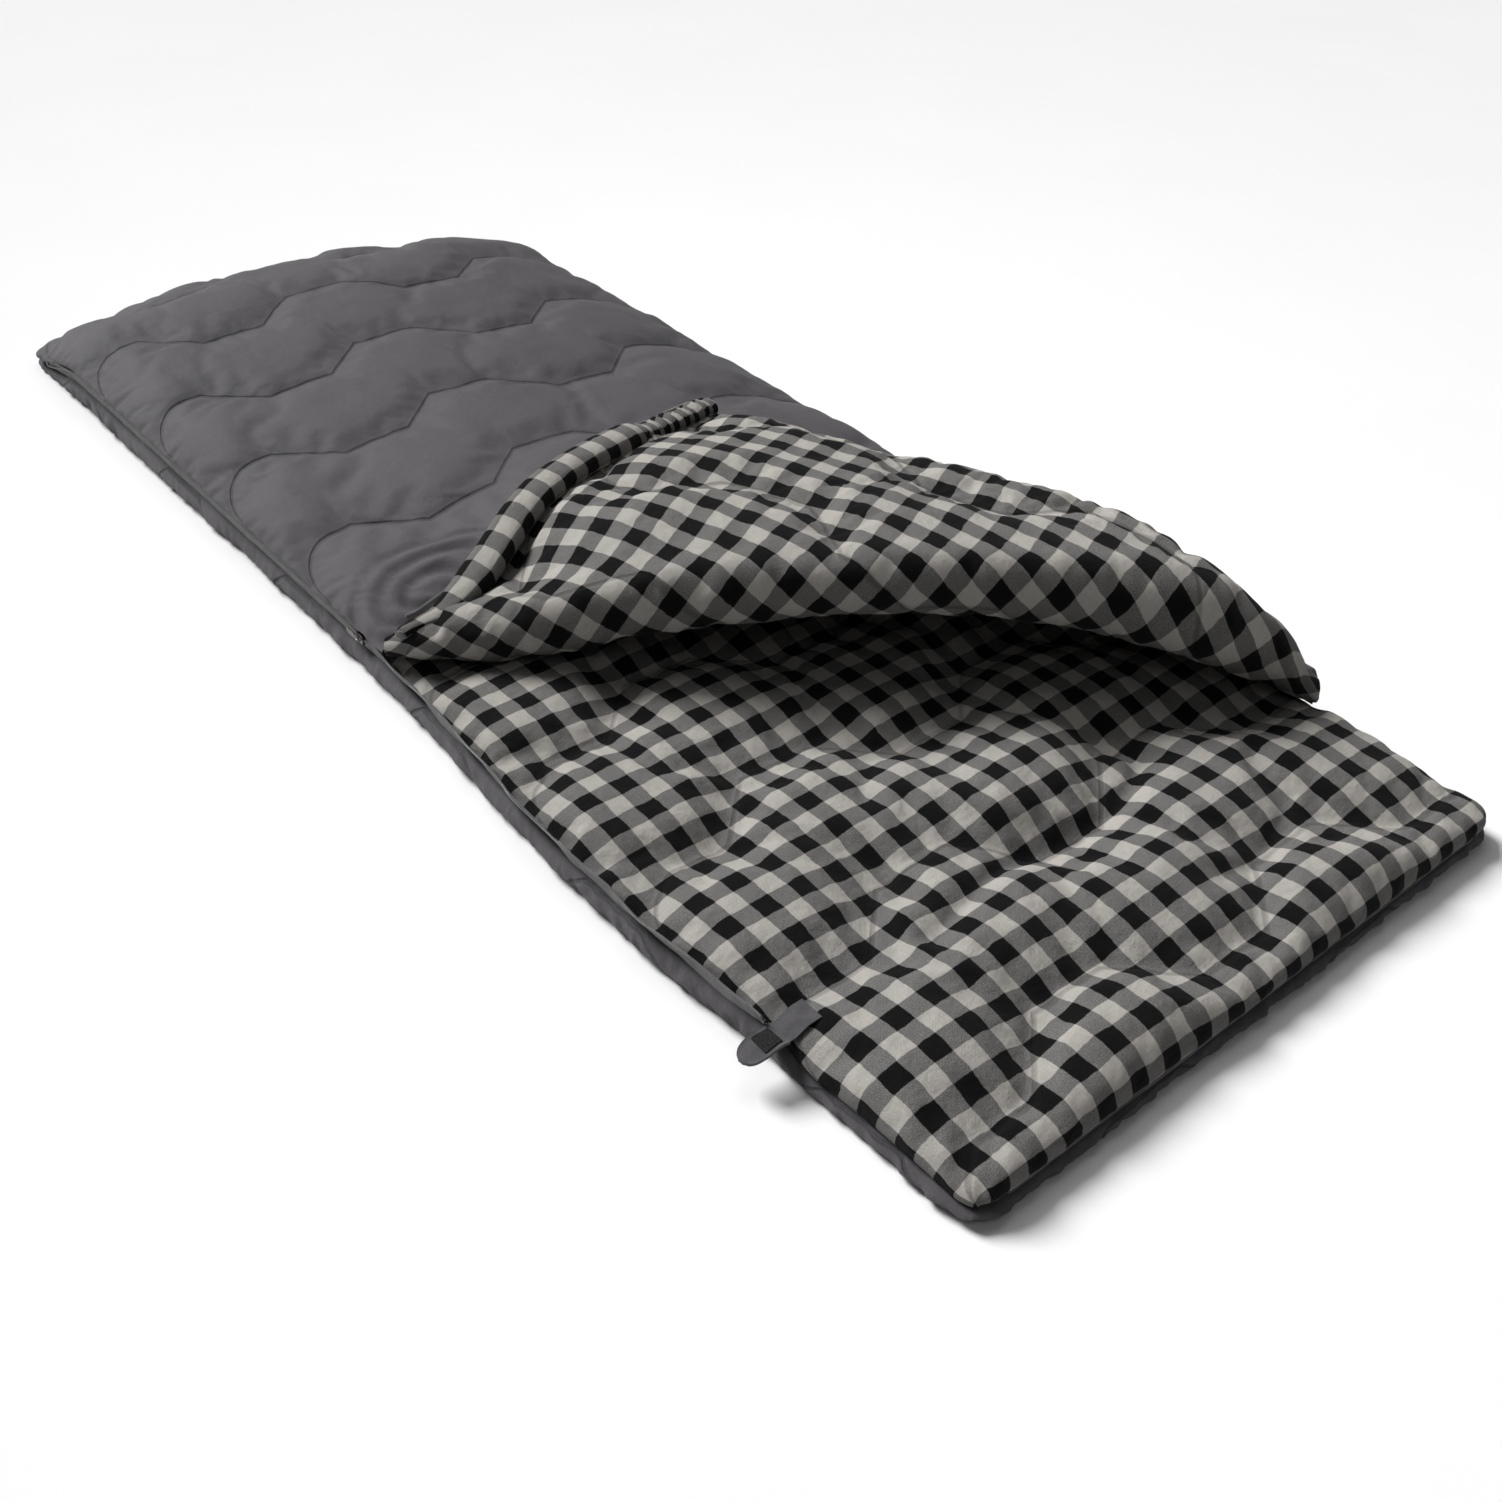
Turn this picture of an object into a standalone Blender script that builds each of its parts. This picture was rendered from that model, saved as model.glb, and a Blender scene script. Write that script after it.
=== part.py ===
"""Rectangular sleeping bag, unzipped along half of one side, with the free part of its top panel folded back.

Metres. +X is the zip side, +Y the head end, +Z up. The origin is on the floor under the bag's centre.
"""

from math import cos, exp, pi, sin

import bmesh
import bpy
from mathutils import Vector

# Overall sizes
BAG_LENGTH = 2.20
PANEL_WIDTH = 0.89
CORNER_RADIUS = 0.035
TOP_PANEL_LENGTH = 1.95
OPEN_BULGE = 0.026

# Panels
SKIN = 0.0015
SHELL_FLOOR = 0.002
BOTTOM_LOFT = 0.045
TOP_LOFT = 0.038
EDGE_LOFT = 0.012
EDGE_TAPER = 0.16
FLAP_LOFT = 0.040
FLAP_TAPER = 0.20
GAP = 0.0003
FLAP_REST_GAP = 0.0030
FLAP_EASE = 0.010

# Hollow between the panels
SEAM_LIFT = 0.002
FOOT_LIFT = 0.030
MOUTH_LIFT = 0.105
MOUTH_REACH = 0.45
FOOT_RISE = 0.30
CREST_SHIFT = 0.40

# Zip, along the +X side
ZIP_SLOT = 0.017
ZIP_FOOT_INSET = 0.030
SLIDER_Y = 0.02
TAPE_THICKNESS = 0.0008
TAPE_WIDTH = 0.018
COIL_WIDTH = 0.0033
COIL_HEIGHT = 0.0020
CHAIN_SPLIT = 0.0018
STOP_LENGTH = 0.006

# Slider and pull
SLIDER_LENGTH = 0.014
SLIDER_HALF_HEIGHT = 0.0066
SLIDER_PLATE = 0.0018
SLIDER_FLANGE = 0.0012
SLIDER_WEB = 0.0012
BAIL_RADIUS = 0.0007
BAIL_SPAN = 0.0076
BAIL_HEIGHT = 0.0042
PULL_LENGTH = 0.030
PULL_WIDTH = 0.009
PULL_THICKNESS = 0.0012
PULL_BAR_BACK = 0.0006
PULL_BAR_FRONT = 0.0008
PULL_WINDOW_END = 0.0056
PULL_WINDOW_HALF = 0.0013
PULL_ARM = 0.0012

# Draught tube on the folded flap
TUBE_HALF_WIDTH = 0.026
TUBE_HALF_HEIGHT = 0.013
TUBE_INSET = 0.030
TUBE_START = 0.12
TUBE_OVERHANG = 0.045
TUBE_LIFT = 0.0019

# Closure tab
TAB_WIDTH = 0.030
TAB_REACH = 0.046
TAB_SEWN = 0.040
TAB_THICKNESS = 0.0012
TAB_PATCH_LENGTH = 0.022

# Bindings
BINDING_HEIGHT = 0.012
BINDING_THICKNESS = 0.0012

HALF_WIDTH = PANEL_WIDTH / 2
HEAD_Y = BAG_LENGTH / 2
FOOT_Y = -BAG_LENGTH / 2
TOP_EDGE_Y = FOOT_Y + TOP_PANEL_LENGTH
ZIP_MIDDLE = BOTTOM_LOFT + ZIP_SLOT / 2
ZIP_FOOT_Y = FOOT_Y + ZIP_FOOT_INSET
ZIP_END_Y = TOP_EDGE_Y - TAB_WIDTH / 2 - 0.005
TAPE_X = HALF_WIDTH + GAP

# The top panel folds along a straight line from the slider to the end of the sewn side.
# The flap's front edge leads that line a little, and is its hinge.
FOLD_LEAD = 0.004
FOLD_LINE = Vector((-PANEL_WIDTH, TOP_EDGE_Y - SLIDER_Y))
FOLD_AHEAD = Vector((FOLD_LINE.y, -FOLD_LINE.x)).normalized() * FOLD_LEAD
FOLD_ZIP_END = Vector((HALF_WIDTH, SLIDER_Y)) + FOLD_LINE * 0.022 + FOLD_AHEAD
FOLD_SEAM_END = Vector((-HALF_WIDTH, TOP_EDGE_Y)) + FOLD_AHEAD
FLAP_SEAM_CORNER = Vector((-HALF_WIDTH + 0.006, TOP_EDGE_Y - 0.190))
FLAP_ZIP_CORNER = Vector((-0.45 * HALF_WIDTH, SLIDER_Y - 0.140))

TOP_COLUMNS = 18
TOP_ROWS = 22
FLAP_COLUMNS = 24
FLAP_ROWS = 10


def clear_scene():
    for thing in list(bpy.data.objects):
        bpy.data.objects.remove(thing, do_unlink=True)


def finish(name, color, roughness, metallic=0.0):
    """A plain Principled material."""
    made = bpy.data.materials.new(name)
    made.use_nodes = True
    shader = made.node_tree.nodes["Principled BSDF"]
    shader.inputs["Base Color"].default_value = (*color, 1.0)
    shader.inputs["Roughness"].default_value = roughness
    shader.inputs["Metallic"].default_value = metallic
    return made


def add_piece(name, bm, look, origin=(0, 0, 0)):
    """The bmesh as a named object, with its origin on its own joint or reference point."""
    bmesh.ops.recalc_face_normals(bm, faces=bm.faces)
    bmesh.ops.translate(bm, verts=bm.verts, vec=-Vector(origin))
    mesh = bpy.data.meshes.new(name)
    bm.to_mesh(mesh)
    bm.free()
    mesh.materials.append(look)
    piece = bpy.data.objects.new(name, mesh)
    piece.location = origin
    bpy.context.collection.objects.link(piece)
    return piece


def loft(rings):
    """A closed solid through rings of points, with a flat cap at each end."""
    bm = bmesh.new()
    loops = [[bm.verts.new(point) for point in ring] for ring in rings]
    for lower, upper in zip(loops, loops[1:]):
        for i in range(len(lower)):
            j = (i + 1) % len(lower)
            bm.faces.new((lower[i], lower[j], upper[j], upper[i]))
    bm.faces.new(loops[0])
    bm.faces.new(loops[-1])
    return bm


def pipe(outer_rings, inner_rings):
    """A wall between two sets of rings, open at both ends."""
    bm = bmesh.new()
    outer = [[bm.verts.new(point) for point in ring] for ring in outer_rings]
    inner = [[bm.verts.new(point) for point in ring] for ring in inner_rings]
    for wall in (outer, inner):
        for lower, upper in zip(wall, wall[1:]):
            for i in range(len(lower)):
                j = (i + 1) % len(lower)
                bm.faces.new((lower[i], lower[j], upper[j], upper[i]))
    for outside, inside in ((outer[0], inner[0]), (outer[-1], inner[-1])):
        for i in range(len(outside)):
            j = (i + 1) % len(outside)
            bm.faces.new((outside[i], outside[j], inside[j], inside[i]))
    return bm


def extrude_outline(points, low, high):
    """A flat outline made a slab between two heights."""
    return loft([[Vector((x, y, z)) for x, y in points] for z in (low, high)])


def patch(place, lower, upper, columns, rows):
    """A closed solid between two height functions over a mapped grid, cut into the same triangles at each level.

    The columns are bunched towards both sides, where the panels curve most.
    """
    bm = bmesh.new()
    sheets = []
    for height in (lower, upper):
        grid = []
        for i in range(columns + 1):
            line = []
            for j in range(rows + 1):
                s, t = bunched(i / columns), j / rows
                x, y = place(s, t)
                line.append(bm.verts.new((x, y, height(s, t, x, y))))
            grid.append(line)
        sheets.append(grid)
    for grid in sheets:
        for i in range(columns):
            for j in range(rows):
                bm.faces.new((grid[i][j], grid[i + 1][j], grid[i + 1][j + 1]))
                bm.faces.new((grid[i][j], grid[i + 1][j + 1], grid[i][j + 1]))
    low, high = (rim(grid, columns, rows) for grid in sheets)
    for i in range(len(low)):
        j = (i + 1) % len(low)
        bm.faces.new((low[i], low[j], high[j]))
        bm.faces.new((low[i], high[j], high[i]))
    return bm


def rim(grid, columns, rows):
    """The vertices round the edge of a grid, in order."""
    return (
        [grid[i][0] for i in range(columns)]
        + [grid[columns][j] for j in range(rows)]
        + [grid[i][rows] for i in range(columns, 0, -1)]
        + [grid[0][j] for j in range(rows, 0, -1)]
    )


def smooth(value):
    """0 to 1 with level ends."""
    value = min(max(value, 0.0), 1.0)
    return value * value * (3 - 2 * value)


def mix(a, b, share):
    return a + (b - a) * share


def bunched(share):
    """Even steps made shorter towards 0 and 1."""
    return (1 - cos(pi * share)) / 2


# Shapes of the panels


def edge_x(y):
    """The bottom panel's zip-side edge, which spreads outwards where the zip is open."""
    along = (y - SLIDER_Y) / (HEAD_Y - SLIDER_Y)
    if along <= 0 or along >= 1:
        return HALF_WIDTH
    return HALF_WIDTH + OPEN_BULGE * sin(pi * along) ** 2


def corner(x, y, start, radius):
    """A rounded corner as an arc about (x, y), from an angle in quarter turns."""
    steps = 6
    turns = [start + i / steps for i in range(steps + 1)]
    return [(x + radius * cos(pi / 2 * turn), y + radius * sin(pi / 2 * turn)) for turn in turns]


def bottom_outline(inset=0.0):
    """The bottom panel's outline, anticlockwise from its zip-side foot corner."""
    radius = CORNER_RADIUS - inset
    x = HALF_WIDTH - CORNER_RADIUS
    y = HEAD_Y - CORNER_RADIUS
    stations = 14
    open_side = []
    for i in range(stations + 1):
        along = mix(SLIDER_Y, HEAD_Y - 2 * CORNER_RADIUS, i / stations)
        open_side.append((edge_x(along) - inset, along))
    return (
        corner(x, -y, 3, radius)
        + open_side
        + corner(x, y, 0, radius)
        + corner(-x, y, 1, radius)
        + corner(-x, -y, 2, radius)
    )


def fold_y(x):
    """Where the fold of the top panel crosses x."""
    share = (HALF_WIDTH - x) / PANEL_WIDTH
    return mix(SLIDER_Y, TOP_EDGE_Y, share)


def ceiling(x, y):
    """The underside of the top panel: low along the seams, arched at the mouth."""
    across = min(max((HALF_WIDTH - x) / PANEL_WIDTH, 0.0), 1.0)
    seat = mix(BOTTOM_LOFT + ZIP_SLOT, BOTTOM_LOFT + SEAM_LIFT, across)
    behind = max(fold_y(x) - y, 0.0)
    near_mouth = exp(-((behind / MOUTH_REACH) ** 2))
    lift = mix(FOOT_LIFT, MOUTH_LIFT, near_mouth)
    arch = sin(pi * across ** (1 + CREST_SHIFT * near_mouth))
    return seat + lift * arch * smooth((y - FOOT_Y) / FOOT_RISE)


def top_loft(x, y):
    """Thickness of the top panel, thin where it is sewn."""
    edge = min(HALF_WIDTH - x, HALF_WIDTH + x, y - FOOT_Y)
    return mix(EDGE_LOFT, TOP_LOFT, smooth(edge / EDGE_TAPER))


def top_surface(x, y):
    return ceiling(x, y) + top_loft(x, y)


def top_place(s, t):
    """Across the top panel from the zip side (s) and from the foot to the fold (t)."""
    x = mix(HALF_WIDTH, -HALF_WIDTH, s)
    return x, mix(FOOT_Y, fold_y(x), t)


def flap_place(s, t):
    """Along the fold from the slider (s) and back from the fold to the hem (t)."""
    front = FOLD_ZIP_END.lerp(FOLD_SEAM_END, s)
    back = FLAP_ZIP_CORNER.lerp(FLAP_SEAM_CORNER, s)
    return front.lerp(back, t)[:]


def flap_loft(s, t):
    """Thickness of the folded flap, full at the fold and thin at its free edges."""
    edge = min(s, 1 - s) / FLAP_TAPER
    hem = (1 - t) / FLAP_TAPER
    return mix(EDGE_LOFT, FLAP_LOFT, smooth(edge) * smooth(hem))


def flap_base(s, t, x, y):
    """The flap's underside, eased off the steep shoulder by the sewn side so that it can swing up past it."""
    return top_surface(x, y) + FLAP_REST_GAP + FLAP_EASE * smooth((s - 0.5) / 0.3)


def flap_top(s, t):
    x, y = flap_place(s, t)
    return flap_base(s, t, x, y) + flap_loft(s, t)


# Bottom panel


def add_bottom_panel(looks):
    wall_top = BOTTOM_LOFT - SKIN - GAP
    outer = bottom_outline()
    inner = bottom_outline(SHELL_FLOOR)
    bm = bmesh.new()
    levels = ((outer, 0.0), (outer, wall_top), (inner, wall_top), (inner, SHELL_FLOOR))
    loops = [[bm.verts.new((x, y, z)) for x, y in points] for points, z in levels]
    for first, second in zip(loops, loops[1:]):
        for i in range(len(first)):
            j = (i + 1) % len(first)
            bm.faces.new((first[i], first[j], second[j], second[i]))
    bm.faces.new(loops[0])
    bm.faces.new(loops[-1])
    add_piece("bottom_outer_shell", bm, looks["shell"])
    filling = bottom_outline(SHELL_FLOOR + GAP)
    add_piece(
        "bottom_batting",
        extrude_outline(filling, SHELL_FLOOR + GAP, wall_top),
        looks["batting"],
    )
    add_piece(
        "bottom_lining",
        extrude_outline(outer, BOTTOM_LOFT - SKIN, BOTTOM_LOFT),
        looks["lining"],
    )


# Top panel and its folded flap: three layers each


def add_layers(names, place, base, loft_at, columns, rows, looks):
    """Skin, batting and skin, stacked between a base height and a thickness."""
    under, batting, over = names

    def level(offset_from_base, offset_from_top):
        def height(s, t, x, y):
            low = base(s, t, x, y)
            if offset_from_top is None:
                return low + offset_from_base
            return low + loft_at(s, t, x, y) - offset_from_top

        return height

    layers = (
        (under, level(0, None), level(SKIN, None)),
        (batting, level(SKIN + GAP, None), level(0, SKIN + GAP)),
        (over, level(0, SKIN), level(0, 0)),
    )
    for (name, look), low, high in layers:
        add_piece(name, patch(place, low, high, columns, rows), looks[look])


def add_top_panel(looks):
    add_layers(
        (("top_lining", "lining"), ("top_batting", "batting"), ("top_outer_shell", "shell")),
        top_place,
        lambda s, t, x, y: ceiling(x, y),
        lambda s, t, x, y: top_loft(x, y),
        TOP_COLUMNS,
        TOP_ROWS,
        looks,
    )


def add_flap(looks):
    add_layers(
        (("flap_outer_shell", "shell"), ("flap_batting", "batting"), ("flap_lining", "lining")),
        flap_place,
        flap_base,
        lambda s, t, x, y: flap_loft(s, t),
        FLAP_COLUMNS,
        FLAP_ROWS,
        looks,
    )


# Bindings


def add_bindings(looks):
    low = BOTTOM_LOFT - BINDING_HEIGHT / 2
    high = low + BINDING_HEIGHT

    def upright(start, end, outward, bottom, top):
        """A flat strip standing against a straight edge, a gap away from it."""
        inner = outward * GAP
        outer = outward * (GAP + BINDING_THICKNESS)
        rings = []
        for point in (start, end):
            corners = ((inner, bottom), (outer, bottom), (outer, top), (inner, top))
            rings.append([Vector((*(point + side), z)) for side, z in corners])
        return loft(rings)

    inset = CORNER_RADIUS + 0.01
    seam = upright(
        Vector((-HALF_WIDTH, FOOT_Y + inset)),
        Vector((-HALF_WIDTH, TOP_EDGE_Y)),
        Vector((-1, 0)),
        low,
        high,
    )
    add_piece("side_seam_binding", seam, looks["binding"])
    foot = upright(
        Vector((-HALF_WIDTH + inset, FOOT_Y)),
        Vector((HALF_WIDTH - inset, FOOT_Y)),
        Vector((0, -1)),
        low,
        high,
    )
    add_piece("foot_seam_binding", foot, looks["binding"])
    head = upright(
        Vector((-HALF_WIDTH + inset, HEAD_Y)),
        Vector((HALF_WIDTH - inset, HEAD_Y)),
        Vector((0, 1)),
        low - BINDING_HEIGHT,
        low,
    )
    add_piece("head_hem_binding", head, looks["binding"])
    add_piece("flap_hem_binding", flap_hem(), looks["binding"])


def flap_hem():
    """A strip along the flap's hem, from corner to corner."""
    along = (FLAP_SEAM_CORNER - FLAP_ZIP_CORNER).normalized()
    outward = Vector((-along.y, along.x))
    rings = []
    for i in range(1, FLAP_COLUMNS):
        s = i / FLAP_COLUMNS
        edge = Vector(flap_place(s, 1))
        bottom = flap_base(s, 1, *edge) + SKIN
        inner = edge + outward * GAP
        outer = inner + outward * BINDING_THICKNESS
        top = bottom + EDGE_LOFT - 2 * SKIN
        corners = ((inner, bottom), (outer, bottom), (outer, top), (inner, top))
        rings.append([Vector((*point, z)) for point, z in corners])
    return loft(rings)


# Zip


def side_strip(start, end, stations, inner, outer, low, high):
    """A strip along the zip side, following the bottom panel's edge."""
    rings = []
    for i in range(stations + 1):
        y = mix(start, end, i / stations)
        x = edge_x(y) - HALF_WIDTH
        corners = ((inner, low), (outer, low), (outer, high), (inner, high))
        rings.append([Vector((x + side, y, z)) for side, z in corners])
    return loft(rings)


def add_zip(looks):
    """The two tapes and coils: whole on the bottom panel, up to the slider on the top panel."""
    tape_face = TAPE_X + TAPE_THICKNESS
    coil_face = tape_face + GAP
    coil_back = coil_face + COIL_HEIGHT
    near = ZIP_MIDDLE - CHAIN_SPLIT / 2
    far = ZIP_MIDDLE + CHAIN_SPLIT / 2
    top_end = SLIDER_Y + SLIDER_LENGTH / 2
    runs = (
        ("bottom_zip_tape", "tape", ZIP_END_Y, 26, TAPE_X, tape_face, near - TAPE_WIDTH, near),
        ("bottom_zip_coil", "coil", ZIP_END_Y, 26, coil_face, coil_back, near - COIL_WIDTH, near),
        ("top_zip_tape", "tape", top_end, 2, TAPE_X, tape_face, far, far + TAPE_WIDTH),
        ("top_zip_coil", "coil", top_end, 2, coil_face, coil_back, far, far + COIL_WIDTH),
    )
    for name, look, end, stations, inner, outer, low, high in runs:
        bm = side_strip(ZIP_FOOT_Y, end, stations, inner, outer, low, high)
        add_piece(name, bm, looks[look])
    stop_low = near - COIL_WIDTH
    foot_stop = side_strip(
        ZIP_FOOT_Y - GAP - STOP_LENGTH,
        ZIP_FOOT_Y - GAP,
        1,
        TAPE_X,
        coil_back,
        stop_low,
        far + COIL_WIDTH,
    )
    add_piece("zip_bottom_stop", foot_stop, looks["metal"])
    head_stop = side_strip(
        ZIP_END_Y + GAP,
        ZIP_END_Y + GAP + STOP_LENGTH / 2,
        1,
        TAPE_X,
        coil_back,
        stop_low,
        near,
    )
    add_piece("bottom_zip_top_stop", head_stop, looks["metal"])


def flap_edge_strip(start, end, stations, inner, outer, low, high):
    """A strip along the flap's zip edge, at heights above the flap's middle level."""
    along = (FLAP_ZIP_CORNER - FOLD_ZIP_END).normalized()
    outward = Vector((along.y, -along.x)) * -1
    rings = []
    for i in range(stations + 1):
        t = mix(start, end, i / stations)
        edge = Vector(flap_place(0, t))
        level = flap_base(0, t, *edge) + EDGE_LOFT / 2
        corners = ((inner, low), (outer, low), (outer, high), (inner, high))
        rings.append([Vector((*(edge + outward * side), level + z)) for side, z in corners])
    return loft(rings)


def add_flap_zip(looks):
    half = TAPE_THICKNESS / 2
    reach = TAPE_WIDTH * 0.6
    tape = flap_edge_strip(0.03, 0.97, FLAP_ROWS * 2, GAP, reach, -half, half)
    add_piece("flap_zip_tape", tape, looks["tape"])
    coil_low = half + GAP
    coil = flap_edge_strip(
        0.03, 0.97, FLAP_ROWS * 2, reach - COIL_WIDTH, reach, coil_low, coil_low + COIL_HEIGHT
    )
    add_piece("flap_zip_coil", coil, looks["coil"])
    length = (FLAP_ZIP_CORNER - FOLD_ZIP_END).length
    stop_start = 0.97 + GAP / length
    stop_end = stop_start + STOP_LENGTH / length
    top = coil_low + COIL_HEIGHT
    stop = flap_edge_strip(stop_start, stop_end, 1, reach - COIL_WIDTH, reach, -half, top)
    add_piece("flap_zip_top_stop", stop, looks["metal"])


def add_slider(looks):
    """A channel round both half-chains: two plates, a thin web between the chains, and flanges."""
    tape_face = TAPE_X + TAPE_THICKNESS
    inner_face = TAPE_X - GAP
    outer_plate = tape_face + GAP + COIL_HEIGHT + GAP
    outer_face = outer_plate + SLIDER_PLATE
    web = SLIDER_WEB / 2
    tall = SLIDER_HALF_HEIGHT
    lip = tall - SLIDER_FLANGE
    flange = tape_face + GAP
    side = [
        (inner_face - SLIDER_PLATE, tall),
        (inner_face, tall),
        (inner_face, web),
        (outer_plate, web),
        (outer_plate, lip),
        (flange, lip),
        (flange, tall),
        (outer_face, tall),
    ]
    profile = [(x, -z) for x, z in side] + [(x, z) for x, z in reversed(side)]
    rings = []
    for end in (-1, 1):
        y = SLIDER_Y + end * SLIDER_LENGTH / 2
        rings.append([Vector((x, y, ZIP_MIDDLE + z)) for x, z in profile])
    centre = Vector((outer_face, SLIDER_Y, ZIP_MIDDLE))
    add_piece("zip_slider_body", loft(rings), looks["metal"], centre)
    add_piece("zip_slider_bail", bail(outer_face + GAP), looks["metal"], centre)
    return outer_face


def bail(foot):
    """The loop that holds the pull: a bent rod with both feet on the slider."""
    half_span = BAIL_SPAN / 2
    crown = half_span * 0.4
    path = [(-half_span, 0.0)]
    steps = 8
    for i in range(steps + 1):
        turn = pi * i / steps
        path.append((-cos(turn) * half_span, BAIL_HEIGHT - crown + sin(turn) * crown))
    path.append((half_span, 0.0))
    rings = []
    for i, (y, x) in enumerate(path):
        before = Vector(path[max(i - 1, 0)])
        after = Vector(path[min(i + 1, len(path) - 1)])
        ahead = (after - before).normalized()
        aside = Vector((-ahead.y, ahead.x))
        ring = []
        for k in range(8):
            turn = 2 * pi * k / 8
            out = aside * BAIL_RADIUS * cos(turn)
            rise = BAIL_RADIUS * sin(turn)
            ring.append(Vector((foot + x + out.y, SLIDER_Y + y + out.x, ZIP_MIDDLE + rise)))
        rings.append(ring)
    return loft(rings)


def add_pull(looks, slider_face):
    """A flat pull that hangs on the bail by a bar at the end of its window, lying towards the foot."""
    pin = Vector((slider_face + GAP + BAIL_HEIGHT * 0.45, SLIDER_Y, ZIP_MIDDLE))
    half = PULL_THICKNESS / 2
    neck = PULL_WINDOW_HALF + PULL_ARM
    round_end = PULL_LENGTH - PULL_WIDTH / 2
    side = [
        (PULL_BAR_FRONT, neck),
        (-PULL_WINDOW_END - PULL_ARM, neck),
        (-PULL_WINDOW_END - 4 * PULL_ARM, PULL_WIDTH / 2),
    ]
    tip = []
    for i in range(9):
        turn = pi * i / 8
        tip.append((-round_end - PULL_WIDTH / 2 * sin(turn), PULL_WIDTH / 2 * cos(turn)))
    outline = side + tip + [(y, -z) for y, z in reversed(side)]
    rings = []
    for x in (pin.x - half, pin.x + half):
        rings.append([Vector((x, pin.y + y, pin.z + z)) for y, z in outline])
    pull = add_piece("zip_pull", loft(rings), looks["metal"], pin)
    window = [
        (-PULL_BAR_BACK, -PULL_WINDOW_HALF),
        (-PULL_BAR_BACK, PULL_WINDOW_HALF),
        (-PULL_WINDOW_END, PULL_WINDOW_HALF),
        (-PULL_WINDOW_END, -PULL_WINDOW_HALF),
    ]
    cutter_rings = []
    for x in (pin.x - PULL_THICKNESS, pin.x + PULL_THICKNESS):
        cutter_rings.append([Vector((x, pin.y + y, pin.z + z)) for y, z in window])
    cutter = add_piece("pull_window_cutter", loft(cutter_rings), looks["metal"], pin)
    cutter.hide_render = True
    cutter.display_type = "WIRE"
    cut = pull.modifiers.new("window", "BOOLEAN")
    cut.operation = "DIFFERENCE"
    cut.object = cutter


# Draught tube


def tube_rings(half_width, half_height, start, end, lengthen):
    """Flattened rings along the flap's zip edge, lying on its lining and running past the hem."""
    along = (FLAP_ZIP_CORNER - FOLD_ZIP_END).normalized()
    inward = Vector((along.y, -along.x))
    stations = 14
    sides = 12
    rings = []
    for i in range(stations + 1):
        t = mix(start, end, i / stations)
        beyond = lengthen if i == stations else 0.0
        edge = Vector(flap_place(0, t)) + along * beyond + inward * TUBE_INSET
        share = TUBE_INSET / (FOLD_SEAM_END - FOLD_ZIP_END).length / (1 - 0.6 * t)
        level = flap_top(share, t) + TUBE_LIFT + TUBE_HALF_HEIGHT
        ring = []
        for k in range(sides):
            turn = 2 * pi * k / sides
            aside = inward * half_width * cos(turn)
            ring.append(Vector((*(edge + aside), level + half_height * sin(turn))))
        rings.append(ring)
    return rings


def add_draught_tube(looks):
    outer = tube_rings(TUBE_HALF_WIDTH, TUBE_HALF_HEIGHT, TUBE_START, 1.0, TUBE_OVERHANG)
    inner = tube_rings(
        TUBE_HALF_WIDTH - SKIN, TUBE_HALF_HEIGHT - SKIN, TUBE_START, 1.0, TUBE_OVERHANG
    )
    add_piece("draught_tube_cover", pipe(outer, inner), looks["lining"])
    room = SKIN + 2 * GAP
    filling = tube_rings(
        TUBE_HALF_WIDTH - room, TUBE_HALF_HEIGHT - room, TUBE_START, 1.0, TUBE_OVERHANG
    )
    add_piece("draught_tube_filling", loft(filling), looks["batting"])


# Closure tab


def add_closure_tab(looks):
    """A strap sewn on the lining, folding about the panel's edge, with a hook patch on its upper side."""
    edge = edge_x(TOP_EDGE_Y)
    low = BOTTOM_LOFT + GAP
    high = low + TAB_THICKNESS
    fold = Vector((edge, TOP_EDGE_Y, (low + high) / 2))
    half = TAB_WIDTH / 2
    sewn = [
        (edge - TAB_SEWN, TOP_EDGE_Y - half),
        (edge - 3 * GAP, TOP_EDGE_Y - half),
        (edge - 3 * GAP, TOP_EDGE_Y + half),
        (edge - TAB_SEWN, TOP_EDGE_Y + half),
    ]
    add_piece("closure_tab_base", extrude_outline(sewn, low, high), looks["tab"])
    centre = edge + TAB_REACH - half
    free = [(edge + GAP, TOP_EDGE_Y + half), (edge + GAP, TOP_EDGE_Y - half)]
    for i in range(13):
        turn = -pi / 2 + pi * i / 12
        free.append((centre + half * cos(turn), TOP_EDGE_Y + half * sin(turn)))
    add_piece("closure_tab_strap", extrude_outline(free, low, high), looks["tab"], fold)
    inset = 0.004
    patch_start = edge + inset
    hooks = [
        (patch_start, TOP_EDGE_Y - half + inset),
        (patch_start + TAB_PATCH_LENGTH, TOP_EDGE_Y - half + inset),
        (patch_start + TAB_PATCH_LENGTH, TOP_EDGE_Y + half - inset),
        (patch_start, TOP_EDGE_Y + half - inset),
    ]
    add_piece(
        "closure_tab_hooks",
        extrude_outline(hooks, high + GAP, high + GAP + TAB_THICKNESS),
        looks["hooks"],
        fold,
    )


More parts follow.
